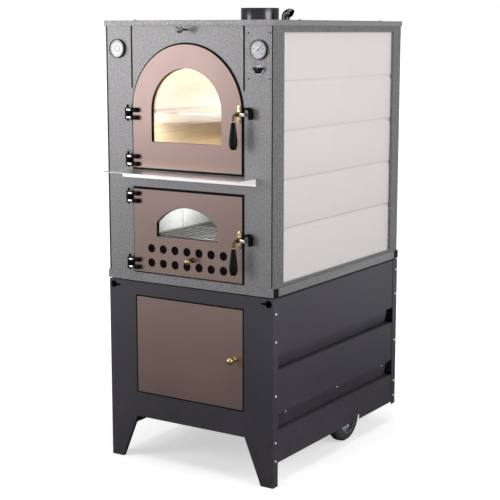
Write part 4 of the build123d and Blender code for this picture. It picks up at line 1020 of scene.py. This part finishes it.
def knobs():
    ball = Piece("shutter_ball")
    x, z = 27.3, 822.5
    profile = [(0, -54.4)] + [(12 * math.sin(math.radians(t)), -43 - 11.4 * math.cos(math.radians(t)))
                              for t in range(12, 145, 12)]
    profile += [(6.0, -33.0), (5.4, -30.0)]
    foot = [(5.4, -16.0), (6.6, -14.0), (9.2, -11.6), (10.0, -10.0), (10.0, -8.0), (9.4, -7.6), (0, -7.6)]
    ball.lathe(profile + [(0, -30.0)], at(x, 0, z), "Y", "bright_brass")
    ball.lathe([(0, -31.0), (4.6, -31.0), (4.6, -15.0), (0, -15.0)], at(x, 0, z), "Y", "dark_bronze", steps=24)
    ball.lathe([(0, -16.0)] + foot, at(x, 0, z), "Y", "dark_bronze")
    ball.done("air_shutter", ["shutter_knob"])
    knob = Piece("cupboard_pull")
    knob.lathe([(0, -41.0), (4.0, -40.8), (8.6, -39.0), (12.0, -36.0), (13.8, -32.0), (14.0, -28.0), (12.4, -23.6),
                (9.4, -20.0), (6.8, -17.4), (6.0, -14.0), (6.0, -6.0), (7.4, -3.0), (9.6, -1.4), (9.8, 0.0),
                (0, 0.0)], at(206.0, 0, 467.0), "Y", "bright_brass")
    knob.done("cupboard_door", ["cupboard_knob"])
    pull = Piece("damper_pull")
    pull.lathe([(0, -54.0), (4.6, -53.6), (9.2, -51.4), (12.4, -47.6), (13.5, -43.0), (13.3, -38.4), (11.4, -34.0),
                (8.4, -30.4), (7.0, -27.4), (6.8, -24.6), (6.0, -24.0), (0, -24.0)], at(0, 0, 1666.0), "Y",
               "galvanised")
    pull.lathe([(0, -26.0), (4.0, -26.0), (4.0, 424.0), (0, 424.0)], at(0, 0, 1666.0), "Y", "dark_bronze", steps=24)
    pull.slab([(-60.0, 1664.5), (60.0, 1664.5), (60.0, 1667.5), (-60.0, 1667.5)], 395.0, 480.0, "stainless",
              edge=0.4)
    pull.lathe([(0, 1664.5), (71.4, 1664.5), (72.0, 1665.0), (72.0, 1667.0), (71.4, 1667.5), (0, 1667.5)],
               at(0, 500.0, 0), "Z", "stainless", steps=64)
    pull.done("damper", ["damper"])


# ---- inside ----
def loop_mesh(outline, depth):
    data = bpy.data.meshes.new("loop")
    count = len(outline)
    data.from_pydata([at(x, depth, z) for x, z in outline], [(i, (i + 1) % count) for i in range(count)], [])
    return data


def gaskets():
    """Two turns of rope behind each door, in one piece for both doors."""
    whole = bpy.data.meshes.new("door_ropes")
    gathered = bmesh.new()
    for half in (218.4, 210.8):
        arched = arc((0, 1370.0), half, 0, 180, 40) + [(-half, 1178.0 + 222 - half), (half, 1178.0 + 222 - half)]
        square = [(-half, 782.0 + 222 - half), (half, 782.0 + 222 - half), (half, 1050.0 - 222 + half),
                  (-half, 1050.0 - 222 + half)]
        for outline in (arched, square):
            data = grow(ROPE, "rope", loop_mesh(outline, 16.4), "ceramic_wool")
            gathered.from_mesh(data)
    gathered.to_mesh(whole)
    gathered.free()
    settle(share_edges(whole, 60), "door_ropes", ["ceramic_wool"], "oven", ["door_gaskets"])


def boxes_mesh(boxes):
    shape = Piece("boxes")
    for x0, x1, near, far, z0, z1 in boxes:
        shape.brick(x0, x1, near, far, z0, z1, "refractory_clay", edge=2.0)
    source = shape.loose()
    data = source.data
    bpy.data.objects.remove(source)
    return data


def bricks():
    length = (820.0 - 32.0) / 3
    hearth, lining = [], []
    for i in range(3):
        near = 26 + i * length
        hearth += [(1, 226, near, near + length - 2, 1167, 1197), (-226, -1, near, near + length - 2, 1167, 1197)]
        near = 60 + i * 195
        lining += [(201, 221, near, near + 193, 893, 1010), (-221, -201, near, near + 193, 893, 1010)]
    for name, boxes, finish in (("hearth_bricks", hearth, "refractory_clay"),
                                ("firebox_lining", lining, "firebox_board")):
        data = grow(BRICKS, name, boxes_mesh(boxes), finish, Level=3)
        settle(share_edges(data, 60), name, [finish], "oven", ["refractory_bricks"])


def rack():
    half, near, far, z = 214.0, 80.0, 740.0, 1357.0
    frame_wire = Piece("rack_frame")
    r = 12.0
    corners = [((half - r), (near + r), -90), ((half - r), (far - r), 0), (-(half - r), (far - r), 90),
               (-(half - r), (near + r), 180)]
    loop = []
    for x, depth, start in corners:
        loop += arc((x, depth), r, start, start + 90, 6)
    loop.append(loop[0])
    loop.append(loop[1])
    frame_wire.sweep([at(x, depth, z) for x, depth in loop], [3.9] * len(loop), "chrome_plate", steps=14)
    frame_wire.done("oven", ["baking_rack"])
    wires = grow(WIRES, "rack_wires", bpy.data.meshes.new("empty"), "chrome_plate", Count=15, Pitch=0.026,
                 Length=0.66, Radius=0.0025)
    wires.transform(Matrix.Translation(at(0, near, z)))
    settle(share_edges(wires), "rack_wires", ["chrome_plate"], "oven", ())


def lamp():
    centre = at(-150.0, 0, 1440.0)
    piece = Piece("chamber_lamp")
    piece.lathe([(26.5, 819.5), (32.0, 819.5), (32.0, 814.0), (30.0, 811.6), (27.0, 811.6), (26.5, 813.0)], centre,
                "Y", "chrome_plate", closed=True)
    dome = [(0, 786.4)] + [(26 * math.sin(math.radians(t)), 812 - 25.6 * math.cos(math.radians(t)))
                           for t in range(10, 91, 10)]
    piece.lathe(dome + [(26.0, 818.0), (0, 818.0)], centre, "Y", "lamp_lens")
    piece.done("oven", ["oven_lamp"])


# ---- pipes on the lid ----
def pipes():
    collar = Piece("flue_spigot")
    collar.lathe([(75.0, 1700.2), (75.0, 1749.2), (74.6, 1749.9), (73.6, 1749.9), (73.0, 1749.2), (73.0, 1702.0),
                  (70.5, 1702.0), (70.5, 1671.0), (73.0, 1671.0), (73.0, 1700.2)], at(0, 500.0, 0), "Z", "flue_steel",
                 steps=96, closed=True)
    collar.lathe([(75.0, 1700.0), (76.8, 1700.0), (76.2, 1701.2), (75.0, 1702.0)], at(0, 500.0, 0), "Z", "black_coat",
                 steps=96, closed=True)
    collar.done("oven", ["flue_collar"])
    vent = Piece("steam_pipe")
    bend = 18.0
    centre = 118.0 + bend
    path = [at(118.0, 500.0, z) for z in (1566.0, 1640.0, 1702.0)]
    path += [at(x, 500.0, z) for x, z in arc((centre, 1712.0), bend, 180, 60, 17)]
    vent.sweep(path, [16.5] * len(path), "flue_steel", steps=40, hollow=1.5)
    vent.done("oven", ["steam_vent"])


# ---- trolley ----
def trolley():
    dress("anthracite_coat", "trolley_front_panel", "trolley_back", "side_boards", "trolley_shelves", edge=0.6)
    dress("sooted_steel", "axle", edge=0.8)


def wheels():
    low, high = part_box("tyre_right")
    middle, depth = (low.x + high.x) / 2 / MM, ((low.y + high.y) / 2 - FRONT) / MM
    for side, name in ((-1, "left"), (1, "right")):
        centre = at(side * middle, depth, 100.0)
        tyre = Piece(f"tyre_{name}_tread")
        shoulder = [(66, -26.5), (68, -27), (74, -26.6), (82, -26.0), (88, -24.5), (93, -21.0), (96.5, -16.5)]
        tread = [(98.8, -13.5), (98.8, -11.6), (97.2, -11.2), (97.2, -10.0), (99.4, -9.6), (99.8, -4.0), (98.0, -3.6),
                 (98.0, -2.4), (99.9, -2.0)]
        half = shoulder + tread
        profile = half + [(r, -x) for r, x in reversed(half)]
        tyre.lathe(profile, centre, "X", "tyre_rubber", steps=96, closed=True)
        tyre.done(f"wheel_{name}", [f"tyre_{name}"])
        rim = Piece(f"wheel_{name}_disc")
        band = [(66.0, -27.0), (66.0, 26.8), (64.8, 27.2), (62.0, 26.4), (60.4, 22.0), (58.6, 8.0), (56.0, 5.4),
                (56.0, 2.8), (57.0, -3.0), (59.0, -20.0), (62.0, -26.6)]
        dish = [(10.2, -28.0), (18.4, -28.0), (19.0, -27.4), (19.0, -8.0), (28.0, -6.0), (44.0, -3.4), (56.4, 2.6),
                (56.4, 5.6), (44.0, 0.0), (30.0, 1.0), (21.0, 3.0), (19.0, 5.0), (19.0, 27.4), (18.4, 28.0),
                (10.2, 28.0)]
        # The rim's bright zinc is partly painted light: it also stands in for the white seen through the wheel.
        rim.lathe([(r, side * a) for r, a in band], centre, "X", "zinc_plate_and_painted_light", steps=96, closed=True)
        rim.lathe([(r, side * a) for r, a in dish], centre, "X", "wheel_grey", steps=72, closed=True)
        rim.done(f"wheel_{name}", [f"wheel_rim_{name}"])


# ---- studio ----
def floor_surface():
    made, tree, shader, where = surface("studio_floor", Roughness=0.7, Specular_IOR_Level=0.2)
    cloud = add(tree, "ShaderNodeTexNoise", {"Vector": where, "Scale": 1.5, "Detail": 3.0})
    near = blend_colour(tree, cloud.outputs["Fac"], (0.93, 0.93, 0.93, 1), (0.96, 0.96, 0.96, 1))
    # Rays other than the camera's see this floor dark near the body, painted shade, and glowing brighter farther out,
    # painted light of a lit sweep; to the camera it glows whiter with distance.
    ray = add(tree, "ShaderNodeLightPath").outputs["Is Camera Ray"]
    tree.links.new(blend_colour(tree, ray, (0.10, 0.10, 0.10, 1), near), shader.inputs["Base Color"])
    away = add(tree, "ShaderNodeVectorMath", {0: where}, operation="LENGTH").outputs["Value"]
    seen = remap(tree, away, 0.6, 2.5, 0.55, 1.0)
    lit = remap(tree, away, 1.3, 4.5, 0.0, 0.75)
    glow = math_node(tree, "ADD", math_node(tree, "MULTIPLY", seen, ray),
                     math_node(tree, "MULTIPLY", lit, math_node(tree, "SUBTRACT", 1.0, ray)))
    tree.links.new(blend_colour(tree, glow, (0.0, 0.0, 0.0, 1), (1.0, 1.0, 1.0, 1)),
                   shader.inputs["Emission Color"])
    shader.inputs["Emission Strength"].default_value = 1.0
    return made


def floor():
    shape = bmesh.new()
    bmesh.ops.create_grid(shape, x_segments=24, y_segments=24, size=300.0)
    data = bpy.data.meshes.new("floor")
    shape.to_mesh(data)
    shape.free()
    data.materials.append(floor_surface())
    ground = bpy.data.objects.new("floor", data)
    bpy.context.scene.collection.objects.link(ground)


def area_light(name, where, towards, size, power, colour=(1, 1, 1)):
    data = bpy.data.lights.new(name, "AREA")
    data.shape = "RECTANGLE"
    data.size, data.size_y = size
    data.energy = power
    data.color = colour
    lamp_object = bpy.data.objects.new(name, data)
    lamp_object.location = where
    lamp_object.rotation_euler = (Vector(towards) - Vector(where)).to_track_quat("-Z", "Y").to_euler()
    bpy.context.scene.collection.objects.link(lamp_object)
    return lamp_object


def bulb(name, where, power, colour):
    data = bpy.data.lights.new(name, "POINT")
    data.energy = power
    data.color = colour
    data.shadow_soft_size = 0.03
    made = bpy.data.objects.new(name, data)
    made.location = where
    made.visible_camera = False
    made.visible_transmission = False
    bpy.context.scene.collection.objects.link(made)


def studio():
    floor()
    world = bpy.data.worlds.new("studio")
    bpy.context.scene.world = world
    world.use_nodes = True
    tree = world.node_tree
    back = tree.nodes["Background"]
    where = add(tree, "ShaderNodeTexCoord").outputs["Generated"]
    height = add(tree, "ShaderNodeSeparateXYZ", {0: where}).outputs["Z"]
    ray = add(tree, "ShaderNodeLightPath").outputs["Is Camera Ray"]
    glow = remap(tree, height, -0.05, 0.7, 0.42, 0.22)
    tree.links.new(blend_colour(tree, ray, glow, (1.0, 1.0, 1.0, 1)), back.inputs["Color"])
    back.inputs["Strength"].default_value = 1.0
    area_light("key", (-2.1, -2.8, 1.75), (0.0, -0.4, 1.45), (1.2, 1.3), 30)
    area_light("right_fill", (4.0, -0.3, 2.2), (0.3, 0.0, 0.9), (2.2, 2.2), 66)
    area_light("overhead", (0.0, -0.6, 4.2), (0.0, 0.0, 0.0), (3.0, 3.0), 60)
    bulb("chamber_glow", at(-150.0, 740.0, 1440.0), 0.95, (1.0, 0.84, 0.62))
    bulb("chamber_floor_glow", at(60.0, 300.0, 1270.0), 4.2, (1.0, 0.93, 0.80))
    bulb("firebox_glow", at(-60.0, 230.0, 1010.0), 1.9, (0.93, 0.97, 1.0))


def camera():
    data = bpy.data.cameras.new("view")
    data.lens = 91.42
    data.sensor_width = 36.0
    eye = bpy.data.objects.new("view", data)
    eye.location = (2.7135, -4.2308, 1.6619)
    yaw, pitch = 0.5715, 0.171
    ahead = Vector((-math.sin(yaw) * math.cos(pitch), math.cos(yaw) * math.cos(pitch), -math.sin(pitch)))
    eye.rotation_euler = ahead.to_track_quat("-Z", "Y").to_euler()
    bpy.context.scene.collection.objects.link(eye)
    bpy.context.scene.camera = eye


casing()
side_panels()
screws()
thermometer()
round_badge()
rotary_switch()
hinges()
catches()
latches()
doors()
knobs()
gaskets()
bricks()
rack()
lamp()
pipes()
trolley()
wheels()
studio()
camera()
bpy.context.scene.view_settings.view_transform = "Standard"
